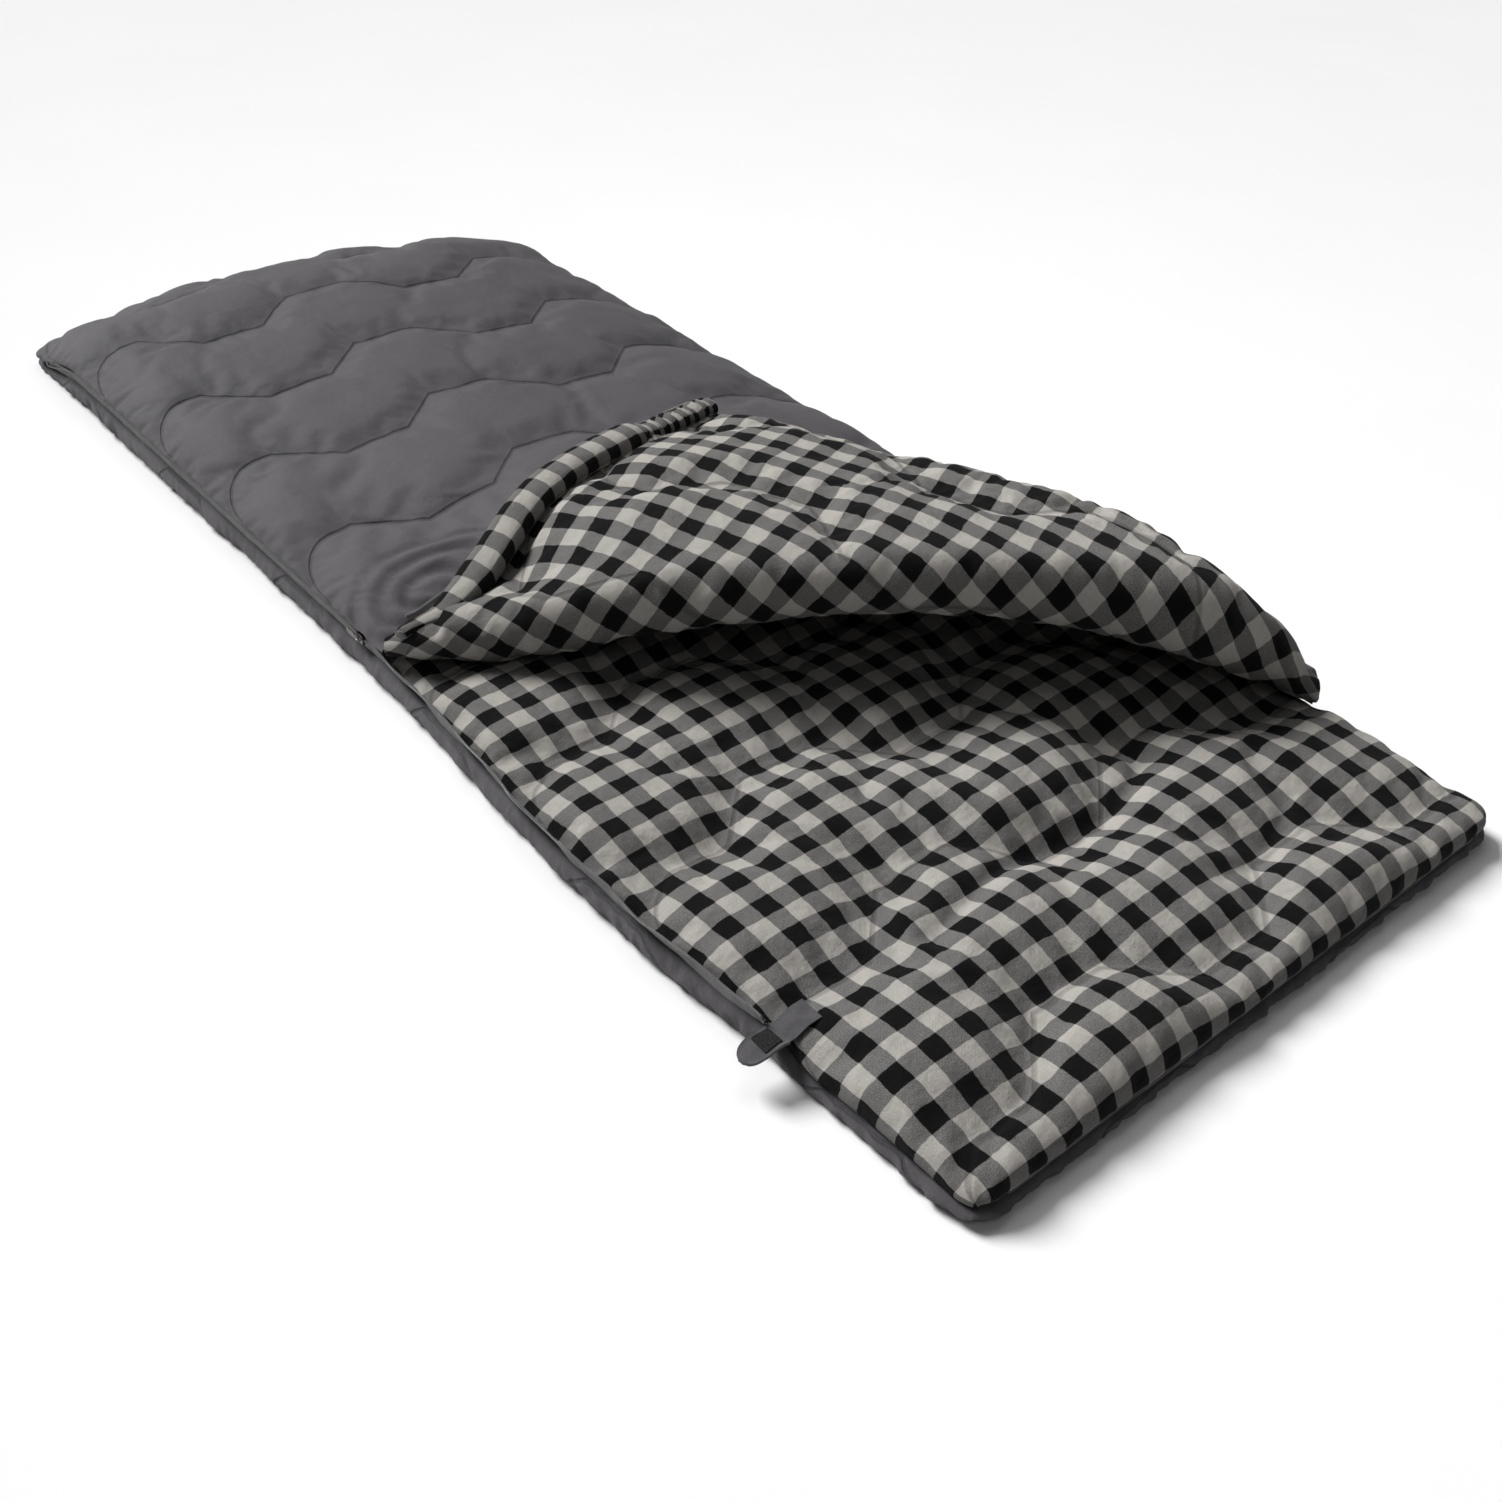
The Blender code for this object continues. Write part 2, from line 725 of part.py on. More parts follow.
def main():
    clear_scene()
    looks = {
        "shell": finish("shell_fabric", (0.105, 0.100, 0.110), 0.75),
        "lining": finish("lining_flannel", (0.30, 0.29, 0.28), 0.95),
        "batting": finish("batting", (0.85, 0.85, 0.83), 1.0),
        "binding": finish("binding", (0.060, 0.058, 0.062), 0.8),
        "tape": finish("zip_tape", (0.22, 0.22, 0.22), 0.85),
        "coil": finish("zip_coil", (0.30, 0.30, 0.29), 0.5),
        "metal": finish("zip_metal", (0.16, 0.16, 0.17), 0.4, 0.9),
        "tab": finish("tab_fabric", (0.07, 0.068, 0.075), 0.8),
        "hooks": finish("hook_patch", (0.012, 0.012, 0.014), 0.9),
    }
    add_bottom_panel(looks)
    add_top_panel(looks)
    add_flap(looks)
    add_bindings(looks)
    add_zip(looks)
    add_flap_zip(looks)
    slider_face = add_slider(looks)
    add_pull(looks, slider_face)
    add_draught_tube(looks)
    add_closure_tab(looks)


main()
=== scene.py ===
"""Looks of the rectangular sleeping bag: quilted shell, checked lining, zip, tube and tab."""

import bpy
import numpy as np
from mathutils import Matrix, Vector, noise


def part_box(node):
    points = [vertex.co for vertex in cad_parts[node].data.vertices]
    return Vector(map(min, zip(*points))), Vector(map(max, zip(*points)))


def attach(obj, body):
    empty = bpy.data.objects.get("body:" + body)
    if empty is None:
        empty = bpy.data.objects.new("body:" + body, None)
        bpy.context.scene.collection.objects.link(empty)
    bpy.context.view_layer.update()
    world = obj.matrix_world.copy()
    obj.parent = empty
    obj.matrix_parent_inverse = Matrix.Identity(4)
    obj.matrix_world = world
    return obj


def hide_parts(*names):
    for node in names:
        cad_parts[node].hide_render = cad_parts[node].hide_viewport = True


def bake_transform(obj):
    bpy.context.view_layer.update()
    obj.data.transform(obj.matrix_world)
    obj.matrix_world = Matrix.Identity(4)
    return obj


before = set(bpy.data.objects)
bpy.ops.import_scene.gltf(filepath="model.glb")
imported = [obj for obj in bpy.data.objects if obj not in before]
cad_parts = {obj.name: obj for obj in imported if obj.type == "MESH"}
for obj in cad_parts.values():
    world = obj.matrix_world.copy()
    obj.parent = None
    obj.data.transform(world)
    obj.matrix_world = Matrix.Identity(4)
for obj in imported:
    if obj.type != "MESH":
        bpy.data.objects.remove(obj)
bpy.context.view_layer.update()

# Sizes, in metres. +X is the zip side, +Y the head end, +Z up.
HALF_WIDTH = 0.445
HEAD_Y = 1.10
FOOT_Y = -1.10
TOP_EDGE_Y = 0.85
SLIDER_Y = 0.02
OPEN_BULGE = 0.026
ZIP_FOOT_Y = -1.045
ZIP_END_Y = 0.83
TOP_LOFT = 0.038
EDGE_LOFT = 0.012

# The check and the quilting. A crest is the x that a crest of the quilting's wave is at.
CHECK_REPEAT = 0.050
QUILT_REPEAT = 0.37
QUILT_RISE = 0.0375
QUILT_START, QUILT_GAP = -1.05, 0.23
QUILT_TURN_X, QUILT_TURN_WIDTH, QUILT_TURN_RISE = 0.395, 0.07, 0.11
WAVE_SLOPE = 0.040
TOP_CREST, BOTTOM_CREST = 0.22, 0.0

# The fold, from the slider to the sewn side, and the flap that lies back from it.
FOLD_Y = 0.080
FOLD_FROM = np.array((0.445, FOLD_Y))
FOLD_TO = np.array((-0.445, 0.85))
FOLD_LENGTH = float(np.linalg.norm(FOLD_TO - FOLD_FROM))
FOLD_ALONG = (FOLD_TO - FOLD_FROM) / FOLD_LENGTH
FOLD_OUT = np.array((FOLD_ALONG[1], -FOLD_ALONG[0]))
FLAP_ZIP_CORNER = np.array((-0.200, -0.120))
FLAP_SEAM_CORNER = np.array((-0.439, 0.660))
FLAP_HEM_SHARE = 0.66
ZIP_EDGE_LENGTH = float(np.linalg.norm(FLAP_ZIP_CORNER - FOLD_FROM))
ZIP_EDGE_ALONG = (FLAP_ZIP_CORNER - FOLD_FROM) / ZIP_EDGE_LENGTH
ZIP_EDGE_IN = np.array((ZIP_EDGE_ALONG[1], -ZIP_EDGE_ALONG[0]))

# How far the corners of the foot end are drawn down.
SEAM_DROP, ZIP_DROP, LINING_DROP = 0.030, 0.049, 0.043
FULL_TURN = 6.28318


# Numbers over whole cloths at once


def ease(value):
    value = np.clip(value, 0.0, 1.0)
    return value * value * (3 - 2 * value)


def mix(a, b, share):
    return a + (b - a) * share


def bump(x, y, middle_x, middle_y, spread_x, spread_y):
    return np.exp(-(((x - middle_x) / spread_x) ** 2) - ((y - middle_y) / spread_y) ** 2)


def unit(vectors):
    return vectors / np.linalg.norm(vectors, axis=1)[:, None]


def on_floor(x, y):
    return np.stack([x, y, np.zeros_like(x)], axis=1)


def cloud(points, size, seed, octaves=3):
    """Smooth uneven values from -1 to 1 over an array of points."""
    shift = Vector((seed * 7.31, seed * 3.17, seed * 5.71))
    return np.array([noise.fractal(Vector(p) / size + shift, 1.0, 2.0, octaves) for p in points])


ROLL_TIGHTNESS = 0.86


def roll(arc, reach, turn_from=-0.6):
    """A padded edge rolling over: its reach out and share of full height, along the cloth."""
    length = reach * (np.pi / 2 - turn_from) * ROLL_TIGHTNESS
    turn = turn_from + (np.pi / 2 - turn_from) * np.clip(arc / length, 0, 1)
    out = reach * (np.cos(turn) - np.cos(turn_from)) - np.clip(arc - length, 0, None)
    return out, (np.sin(turn) - np.sin(turn_from)) / (1 - np.sin(turn_from))


def flat_length(reach, turn_from=-0.6):
    """Cloth used up by a rolled edge beyond the width that it covers."""
    return reach * (np.pi / 2 - turn_from) * ROLL_TIGHTNESS - reach * np.cos(turn_from)


# Shapes of the panels


def edge_x(y):
    along = np.clip((y - SLIDER_Y) / (HEAD_Y - SLIDER_Y), 0, 1)
    return HALF_WIDTH + OPEN_BULGE * np.sin(np.pi * along) ** 2


def fold_y(x):
    return mix(FOLD_Y, TOP_EDGE_Y, (HALF_WIDTH - x) / (2 * HALF_WIDTH))


def ceiling(x, y):
    """Underside of the top panel."""
    across = np.clip((HALF_WIDTH - x) / (2 * HALF_WIDTH), 0, 1)
    seat = mix(0.062, 0.047, across)
    near = np.exp(-((np.clip(fold_y(x) - y, 0, None) / 0.45) ** 2))
    lift = mix(0.030, 0.105, near) * mix(1.0, ease((across - 0.02) / 0.30), near)
    return seat + lift * np.sin(np.pi * across ** (1 + 0.4 * near)) * ease((y - FOOT_Y) / 0.30)


def stitch_line(x, start, crest):
    """The quilting runs across the bag in flat-topped waves and turns up towards the zip."""
    from_crest = np.abs((x - crest + QUILT_REPEAT / 2) % QUILT_REPEAT - QUILT_REPEAT / 2)
    wave = np.clip((QUILT_REPEAT / 4 - from_crest) / WAVE_SLOPE, -1, 1)
    turned = np.clip((x - QUILT_TURN_X) / QUILT_TURN_WIDTH, 0, 1) ** 2
    return start + QUILT_RISE * wave + QUILT_TURN_RISE * turned


def from_stitching(x, y, crest=TOP_CREST):
    """Distance to the nearest line of quilting."""
    past = (y - stitch_line(x, QUILT_START, crest) + QUILT_GAP / 2) % QUILT_GAP
    return np.abs(past - QUILT_GAP / 2) * 0.86


def quilted(x, y, depth, crest=TOP_CREST, sharp=0.5):
    """Height lost towards the quilting: sharp at the thread, round between, and puckered."""
    gap = from_stitching(x, y, crest)
    puckers = cloud(on_floor(x, y * 0.3), 0.011, 61, 2) * np.exp(-gap / 0.016)
    valley_share = sharp * np.exp(-gap / 0.006) + (1 - sharp) * np.exp(-((gap / 0.045) ** 2))
    return -depth * valley_share + 0.0015 * puckers


def foot_pinch(x, y):
    """How much of their drop the bag's seams have taken, towards the corners of its foot end."""
    from_side, from_foot = np.clip(HALF_WIDTH - np.abs(x), 0, None), np.clip(y - FOOT_Y, 0, None)
    return ease(1 - np.hypot(from_side * 0.62, from_foot) / 0.22)


def top_surface(x, y):
    """Upper side of the top panel, pressed down beside the slider."""
    sides = np.minimum((HALF_WIDTH - x) / 0.07, (HALF_WIDTH + x) / 0.16)
    edge = ease(np.minimum(sides, (y - FOOT_Y) / 0.10))
    near_fold = np.exp(-((np.clip(fold_y(x) - y, 0, None) / 0.25) ** 2))
    pressed = near_fold * (1 - ease((HALF_WIDTH - x) / 0.33))
    return ceiling(x, y) + mix(EDGE_LOFT + 0.008, TOP_LOFT, edge) - 0.013 * pressed * edge


def zip_edge_bow(at):
    """How far the flap's zip edge bows in, by distance from the fold."""
    return 0.024 * np.exp(-(((at - 0.10) / 0.12) ** 2)) * ease(at / 0.05)


def fold_point(a):
    return FOLD_FROM + np.multiply.outer(a, FOLD_TO - FOLD_FROM)


def zip_edge_point(at):
    return FOLD_FROM + np.multiply.outer(at, ZIP_EDGE_ALONG)


def flap_plan(a, b):
    """Along the fold from the slider (a) and back from the fold to the hem (b)."""
    front = fold_point(a)
    back = FLAP_ZIP_CORNER + np.multiply.outer(a, FLAP_SEAM_CORNER - FLAP_ZIP_CORNER)
    bow = zip_edge_bow(b * ZIP_EDGE_LENGTH) * (1 - a) ** 3
    return front + (back - front) * b[..., None] + ZIP_EDGE_IN * bow[..., None]


def flap_base(a, b):
    x, y = np.moveaxis(flap_plan(a, b), -1, 0)
    return top_surface(x, y) + 0.004 + 0.010 * ease((a - 0.5) / 0.3)


FLAP_TOP = 0.246


def flap_height(a, b):
    """Top of the folded flap away from its rolled edges."""
    x, y = np.moveaxis(flap_plan(a, b), -1, 0)
    full = mix(0.020, 0.046, ease(np.minimum(a / 0.22, (1 - a) / 0.16)) * ease((1 - b) / 0.25))
    fat = 0.046 * bump(x, y, -0.375, 0.60, 0.10, 0.17)
    fat = fat + 0.034 * bump(x, y, -0.31, 0.30, 0.11, 0.20)
    fat += 0.028 * bump(x, y, -0.235, 0.08, 0.11, 0.15) * ease(a / 0.12)
    return np.minimum(flap_base(a, b) + full + fat, FLAP_TOP + 0.001)


def flap_cloth(a, b):
    """Where a point of the flap was on the flat panel."""
    front = fold_point(a) + FOLD_OUT * 0.11
    back = np.array((0.445, 0.85)) + np.multiply.outer(a, np.array((-0.70, 0.0))) + FOLD_OUT * 0.04
    return front + (back - front) * b[..., None]


# Making cloths and padded bodies


def clear_selection():
    bpy.ops.object.select_all(action="DESELECT")


def make_active(piece):
    clear_selection()
    piece.select_set(True)
    bpy.context.view_layer.objects.active = piece


def new_piece(name):
    """The piece that was just added, under its own name."""
    piece = bpy.context.object
    piece.name = piece.data.name = name
    return piece


def edit_mesh(operation, **settings):
    bpy.ops.object.mode_set(mode="EDIT")
    operation(**settings)
    bpy.ops.object.mode_set(mode="OBJECT")


def points_of(piece):
    co = np.empty(len(piece.data.vertices) * 3, np.float32)
    piece.data.vertices.foreach_get("co", co)
    return co.reshape(-1, 3).astype(float)


def move_points(piece, points):
    piece.data.vertices.foreach_set("co", np.ascontiguousarray(points, np.float32).ravel())
    piece.data.update()


def map_of(piece):
    """The piece's own map, and which point each of its corners is."""
    layer = piece.data.uv_layers.active or piece.data.uv_layers.new(name="cloth")
    corners = np.empty(len(piece.data.loops), int)
    piece.data.loops.foreach_get("vertex_index", corners)
    return layer.data, corners


def write_map(piece, flat):
    """Keeps each point's place on the flat cloth as the piece's own map, in metres."""
    layer, corners = map_of(piece)
    layer.foreach_set("uv", flat[corners].astype(np.float32).ravel())


def smooth_shading(piece, angle=None):
    make_active(piece)
    if angle is None:
        bpy.ops.object.shade_smooth()
    else:
        bpy.ops.object.shade_smooth_by_angle(angle=angle)


def lay_cloth(name, columns, rows, place, flip=False):
    """A grid of cloth. place(s, t) gives its points and its flat map."""
    clear_selection()
    bpy.ops.mesh.primitive_grid_add(x_subdivisions=columns, y_subdivisions=rows, size=2)
    piece = new_piece(name)
    share = (points_of(piece)[:, :2] + 1) / 2
    points, flat = place(share[:, 0], share[:, 1])
    move_points(piece, points)
    write_map(piece, flat)
    if flip:
        piece.data.flip_normals()
    smooth_shading(piece)
    return piece, share


def face_outwards(piece):
    """Turns a closed body's faces outwards if they face in."""
    count = len(piece.data.polygons)
    normal, middle, area = np.empty(count * 3), np.empty(count * 3), np.empty(count)
    piece.data.polygons.foreach_get("normal", normal)
    piece.data.polygons.foreach_get("center", middle)
    piece.data.polygons.foreach_get("area", area)
    if ((middle * normal).reshape(-1, 3).sum(1) * area).sum() < 0:
        piece.data.flip_normals()


def ring_body(name, around, rows, place):
    """A closed body of rings, capped at both ends. place(k, row) gives points and flat map by
    share of the way round (k) and along (row)."""
    clear_selection()
    bpy.ops.mesh.primitive_cylinder_add(vertices=around, radius=1, depth=2, end_fill_type="TRIFAN")
    piece = new_piece(name)
    edit_mesh(bpy.ops.mesh.select_all, action="DESELECT")
    points = points_of(piece)
    ends = np.empty(len(piece.data.edges) * 2, int)
    piece.data.edges.foreach_get("vertices", ends)
    ends = ends.reshape(-1, 2)
    upright = np.abs(points[ends[:, 0], 2] - points[ends[:, 1], 2]) > 1
    piece.data.edges.foreach_set("select", upright)
    bpy.ops.object.mode_set(mode="EDIT")
    bpy.ops.mesh.select_mode(type="EDGE")
    bpy.ops.mesh.subdivide(number_cuts=rows - 2)
    bpy.ops.object.mode_set(mode="OBJECT")
    points = points_of(piece)
    heading = np.arctan2(points[:, 0], points[:, 1]) / (2 * np.pi)
    station = np.rint(heading * around).astype(int) % around
    row = np.clip((points[:, 2] + 1) / 2, 0, 1)
    made, flat = place(station / around, row)
    centre = np.hypot(points[:, 0], points[:, 1]) < 0.5
    for end in (0, 1):
        at_end = np.abs(row - end) < 1e-6
        made[centre & at_end] = made[~centre & at_end].mean(0)
    move_points(piece, made)
    layer, corners = map_of(piece)
    faces = piece.data.polygons
    first = np.repeat([corners[p.loop_start] for p in faces], [p.loop_total for p in faces])
    # a face across the join takes its map from past the end instead of back at the start
    behind = station[first] - station[corners]
    wrapped = np.where(behind > around / 2, 1, np.where(behind < -around / 2, -1, 0))
    once_round = place(np.ones(1), np.zeros(1))[1][0] - place(np.zeros(1), np.zeros(1))[1][0]
    flat = flat[corners] + wrapped[:, None] * once_round
    layer.foreach_set("uv", flat.astype(np.float32).ravel())
    face_outwards(piece)
    smooth_shading(piece)
    return piece


def distance_along(points):
    steps = np.linalg.norm(np.diff(points, axis=0), axis=1)
    return np.concatenate([[0], np.cumsum(steps)])


def along_path(points):
    """Directions along a path, and the distance at each point."""
    return unit(np.gradient(points, axis=0)), distance_along(points)


def strip(name, path, across, width, thickness, sides=8):
    """A flat tape along a path, with its width along the across directions."""
    ahead, length = along_path(path)
    across = unit(across)
    outward = unit(np.cross(across, ahead))

    def place(k, row):
        index = np.rint(row * (len(path) - 1)).astype(int)
        turn = 2 * np.pi * k
        wide = np.sign(np.cos(turn)) * np.abs(np.cos(turn)) ** 0.45 * width / 2
        high = np.sign(np.sin(turn)) * np.abs(np.sin(turn)) ** 0.75 * thickness / 2
        made = path[index] + across[index] * wide[:, None] + outward[index] * high[:, None]
        return made, np.stack([length[index], k * 2 * width], axis=1)

    return ring_body(name, sides, len(path), place)


def coil_teeth(name, path, across, pitch, width, height):
    """One bent loop of the zip's coil, modelled once and repeated along the tape's edge."""
    clear_selection()
    bpy.ops.mesh.primitive_cube_add(size=1)
    tooth = bpy.context.object
    edit_mesh(bpy.ops.mesh.bevel, offset=0.22, segments=1, affect="EDGES")
    shape = points_of(tooth) * np.array((width, pitch * 0.62, height))
    faces = [list(p.vertices) for p in tooth.data.polygons]
    bpy.data.objects.remove(tooth)
    ahead, length = along_path(path)
    places = np.arange(pitch / 2, length[-1], pitch)
    middle, front, side = (
        np.stack([np.interp(places, length, values[:, i]) for i in range(3)], axis=1)
        for values in (path, ahead, across)
    )
    front = unit(front)
    side = unit(side - (side * front).sum(1)[:, None] * front)
    out = np.cross(side, front)
    slant = shape[:, 1] + shape[:, 0] * 0.35
    points = (
        middle[:, None]
        + side[:, None] * shape[None, :, 0, None]
        + front[:, None] * slant[None, :, None]
        + out[:, None] * shape[None, :, 2, None]
    )
    mesh = bpy.data.meshes.new(name)
    count = len(shape)
    mesh.from_pydata(
        points.reshape(-1, 3).tolist(),
        [],
        [[v + i * count for v in face] for i in range(len(places)) for face in faces],
    )
    piece = bpy.data.objects.new(name, mesh)
    bpy.context.scene.collection.objects.link(piece)
    smooth_shading(piece, 0.9)
    return piece


CLOTH_FRAMES = 20
CLOTH_STIFFNESS = 12.0


def swell(piece, held, pressure, slack, cap):
    """Lets the cloth swell and wrinkle between its stitching, then keeps that shape."""
    before = points_of(piece)
    group = piece.vertex_groups.new(name="stitched")
    held = np.round(held, 1)
    for level in np.unique(held):
        if level > 0:
            group.add(np.nonzero(held == level)[0].tolist(), float(level), "REPLACE")
    cloth = piece.modifiers.new("swell", "CLOTH")
    settings = cloth.settings
    settings.quality = 6
    settings.mass = 0.15
    settings.air_damping = 3
    settings.tension_stiffness = settings.compression_stiffness = CLOTH_STIFFNESS
    settings.shear_stiffness = CLOTH_STIFFNESS * 0.4
    settings.bending_stiffness = 0.15
    settings.use_pressure = True
    settings.uniform_pressure_force = pressure
    settings.vertex_group_mass = "stitched"
    settings.pin_stiffness = 1
    settings.shrink_min = -slack
    settings.effector_weights.gravity = 0
    cloth.collision_settings.use_collision = False
    cloth.point_cache.frame_start = 1
    cloth.point_cache.frame_end = CLOTH_FRAMES
    scene = bpy.context.scene
    for moment in range(1, CLOTH_FRAMES + 1):
        scene.frame_set(moment)
    evaluated = piece.evaluated_get(bpy.context.evaluated_depsgraph_get())
    after = np.empty(len(before) * 3, np.float32)
    evaluated.data.vertices.foreach_get("co", after)
    moved = after.reshape(-1, 3) - before
    piece.modifiers.remove(cloth)
    piece.vertex_groups.remove(group)
    scene.frame_set(1)
    if not np.isfinite(moved).all():
        print(f"{piece.name}: the cloth didn't settle, so it keeps its modelled shape")
        return
    far = np.linalg.norm(moved, axis=1)
    moved *= np.minimum(1, cap / np.maximum(far, 1e-9))[:, None]
    most, usual = far.max() * 1000, np.median(far) * 1000
    print(f"{piece.name}: moved by up to {most:.1f} mm, {usual:.1f} mm usually")
    move_points(piece, before + moved)


def keep_under(piece, height, room):
    """Flattens what stands above a height, so that it never passes that height plus the room."""
    points = points_of(piece)
    over = np.clip(points[:, 2] - height, 0, None)
    points[:, 2] += room * (1 - np.exp(-over / room)) - over
    move_points(piece, points)


def refine(piece):
    make_active(piece)
    finer = piece.modifiers.new("finer", "SUBSURF")
    finer.levels = finer.render_levels = 1
    bpy.ops.object.modifier_apply(modifier="finer")


# Materials


class Nodes:
    """Short calls for wiring a node tree."""

    def __init__(self, tree):
        self.tree = tree

    def add(self, kind, **settings):
        node = self.tree.nodes.new(kind)
        for name, value in settings.items():
            setattr(node, name, value)
        return node

    def put(self, socket, value):
        if isinstance(value, bpy.types.NodeSocket):
            self.tree.links.new(value, socket)
        elif value is not None:
            socket.default_value = value

    def math(self, operation, a, b=None):
        node = self.add("ShaderNodeMath", operation=operation)
        for socket, value in zip(node.inputs, (a, b)):
            self.put(socket, value)
        return node.outputs[0]

    def times(self, a, b):
        return self.math("MULTIPLY", a, b)

    def plus(self, a, b):
        return self.math("ADD", a, b)

    def minus(self, a, b):
        return self.math("SUBTRACT", a, b)

    def blend(self, share, a, b):
        node = self.add("ShaderNodeMix", data_type="RGBA")
        self.put(node.inputs[0], share)
        self.put(node.inputs[6], a)
        self.put(node.inputs[7], b)
        return node.outputs[2]

    def spread(self, value, low, high, to_low=0.0, to_high=1.0, kind="SMOOTHSTEP"):
        node = self.add("ShaderNodeMapRange", interpolation_type=kind)
        for socket, given in zip(node.inputs, (value, low, high, to_low, to_high)):
            self.put(socket, given)
        return node.outputs[0]

    def noise(self, vector, scale, detail=2.0, roughness=0.5):
        node = self.add("ShaderNodeTexNoise")
        self.put(node.inputs["Vector"], vector)
        self.put(node.inputs["Scale"], scale)
        self.put(node.inputs["Detail"], detail)
        self.put(node.inputs["Roughness"], roughness)
        return node.outputs["Fac"]


def new_group(name, inputs, outputs):
    group = bpy.data.node_groups.new(name, "ShaderNodeTree")
    for label, kind, value in inputs:
        socket = group.interface.new_socket(name=label, in_out="INPUT", socket_type=kind)
        if value is not None:
            socket.default_value = value
    for label, kind in outputs:
        group.interface.new_socket(name=label, in_out="OUTPUT", socket_type=kind)
    nodes = Nodes(group)
    return group, nodes, nodes.add("NodeGroupInput").outputs, nodes.add("NodeGroupOutput").inputs


def weave_group():
    """Plain weave: crossing threads, uneven in thickness."""
    group, n, given, out = new_group(
        "plain_weave",
        [
            ("Map", "NodeSocketVector", None),
            ("Threads", "NodeSocketFloat", 900.0),
            ("Unevenness", "NodeSocketFloat", 0.3),
        ],
        [("Height", "NodeSocketFloat"), ("Slub", "NodeSocketFloat")],
    )
    parts = n.add("ShaderNodeSeparateXYZ")
    n.put(parts.inputs[0], given["Map"])
    pace = n.times(given["Threads"], FULL_TURN)
    warp = n.math("SINE", n.times(parts.outputs[0], pace))
    weft = n.math("SINE", n.times(parts.outputs[1], pace))
    over = n.times(n.times(warp, weft), 0.5)
    ridges = n.plus(n.math("ABSOLUTE", warp), n.math("ABSOLUTE", weft))
    height = n.plus(n.times(ridges, 0.4), over)
    stretched, across = n.add("ShaderNodeMapping"), n.add("ShaderNodeMapping")
    for node, scale in ((stretched, (900, 60, 1)), (across, (60, 900, 1))):
        n.put(node.inputs["Vector"], given["Map"])
        node.inputs["Scale"].default_value = scale
    slub = n.minus(n.plus(*(n.noise(m.outputs[0], 1.0, 1.0) for m in (stretched, across))), 1.0)
    n.put(out["Slub"], slub)
    n.put(out["Height"], n.plus(height, n.times(slub, given["Unevenness"])))
    return group


def fuzz_group():
    """Brushed nap: short soft fibres."""
    group, n, given, out = new_group(
        "brushed_nap",
        [("Map", "NodeSocketVector", None), ("Fineness", "NodeSocketFloat", 1.0)],
        [("Height", "NodeSocketFloat"), ("Patches", "NodeSocketFloat")],
    )
    cloth, fineness = given["Map"], given["Fineness"]
    fine = n.noise(cloth, n.times(fineness, 1100.0), 3.0, 0.7)
    soft = n.noise(cloth, n.times(fineness, 130.0), 3.0, 0.6)
    n.put(out["Height"], n.plus(n.times(fine, 0.6), n.times(soft, 0.7)))
    n.put(out["Patches"], n.noise(cloth, n.times(fineness, 28.0), 4.0, 0.6))
    return group


def wear_group():
    """Slight fading and dust in broad soft patches."""
    group, n, given, out = new_group(
        "soft_patches",
        [("Place", "NodeSocketVector", None), ("Size", "NodeSocketFloat", 6.0)],
        [("Mask", "NodeSocketFloat")],
    )
    broad = n.noise(given["Place"], given["Size"], 4.0, 0.55)
    n.put(out["Mask"], n.spread(broad, 0.3, 0.7))
    return group


def quilting_group():
    """The sewn lines that the panels' own shapes dip along: the drawn-in groove and its stitches. The
    groove also darkens the materials' colour as painted shade.
    """
    group, n, given, out = new_group(
        "quilting_lines",
        [("Map", "NodeSocketVector", None), ("Crest", "NodeSocketFloat", TOP_CREST)],
        [("Groove", "NodeSocketFloat"), ("Stitches", "NodeSocketFloat")],
    )
    parts = n.add("ShaderNodeSeparateXYZ")
    n.put(parts.inputs[0], given["Map"])
    x, y = parts.outputs[0], parts.outputs[1]
    from_crest = n.math("PINGPONG", n.minus(x, given["Crest"]), QUILT_REPEAT / 2)
    low, high = QUILT_REPEAT / 4 + WAVE_SLOPE, QUILT_REPEAT / 4 - WAVE_SLOPE
    wave = n.spread(from_crest, low, high, -QUILT_RISE, QUILT_RISE, "LINEAR")
    turned = n.spread(x, QUILT_TURN_X, QUILT_TURN_X + QUILT_TURN_WIDTH, 0, 1, "LINEAR")
    line = n.plus(wave, n.times(n.math("POWER", turned, 2.0), QUILT_TURN_RISE))
    past = n.math("PINGPONG", n.minus(n.minus(y, line), QUILT_START), QUILT_GAP / 2)
    n.put(out["Groove"], n.spread(past, 0.0012, 0.0065, 1.0, 0.0))
    dash = n.spread(n.math("PINGPONG", x, 0.0020), 0.0004, 0.0008)
    n.put(out["Stitches"], n.times(n.spread(past, 0.0006, 0.0011, 1.0, 0.0), dash))
    return group


PLAIN_WEAVE, BRUSHED_NAP = weave_group(), fuzz_group()
SOFT_PATCHES, QUILTING = wear_group(), quilting_group()


def new_material(name, roughness, sheen=0.0, sheen_tint=(1, 1, 1, 1), metallic=0.0, specular=0.5):
    material = bpy.data.materials.new(name)
    material.use_nodes = True
    n = Nodes(material.node_tree)
    surface = next(x for x in n.tree.nodes if x.type == "BSDF_PRINCIPLED")
    for label, value in (
        ("Roughness", roughness),
        ("Metallic", metallic),
        ("Specular IOR Level", specular),
        ("Sheen Weight", sheen),
        ("Sheen Roughness", 0.5),
        ("Sheen Tint", sheen_tint),
    ):
        surface.inputs[label].default_value = value
    return material, n, surface


def cloth_map(n):
    return n.add("ShaderNodeUVMap").outputs[0]


def own_place(n):
    return n.add("ShaderNodeTexCoord").outputs["Object"]


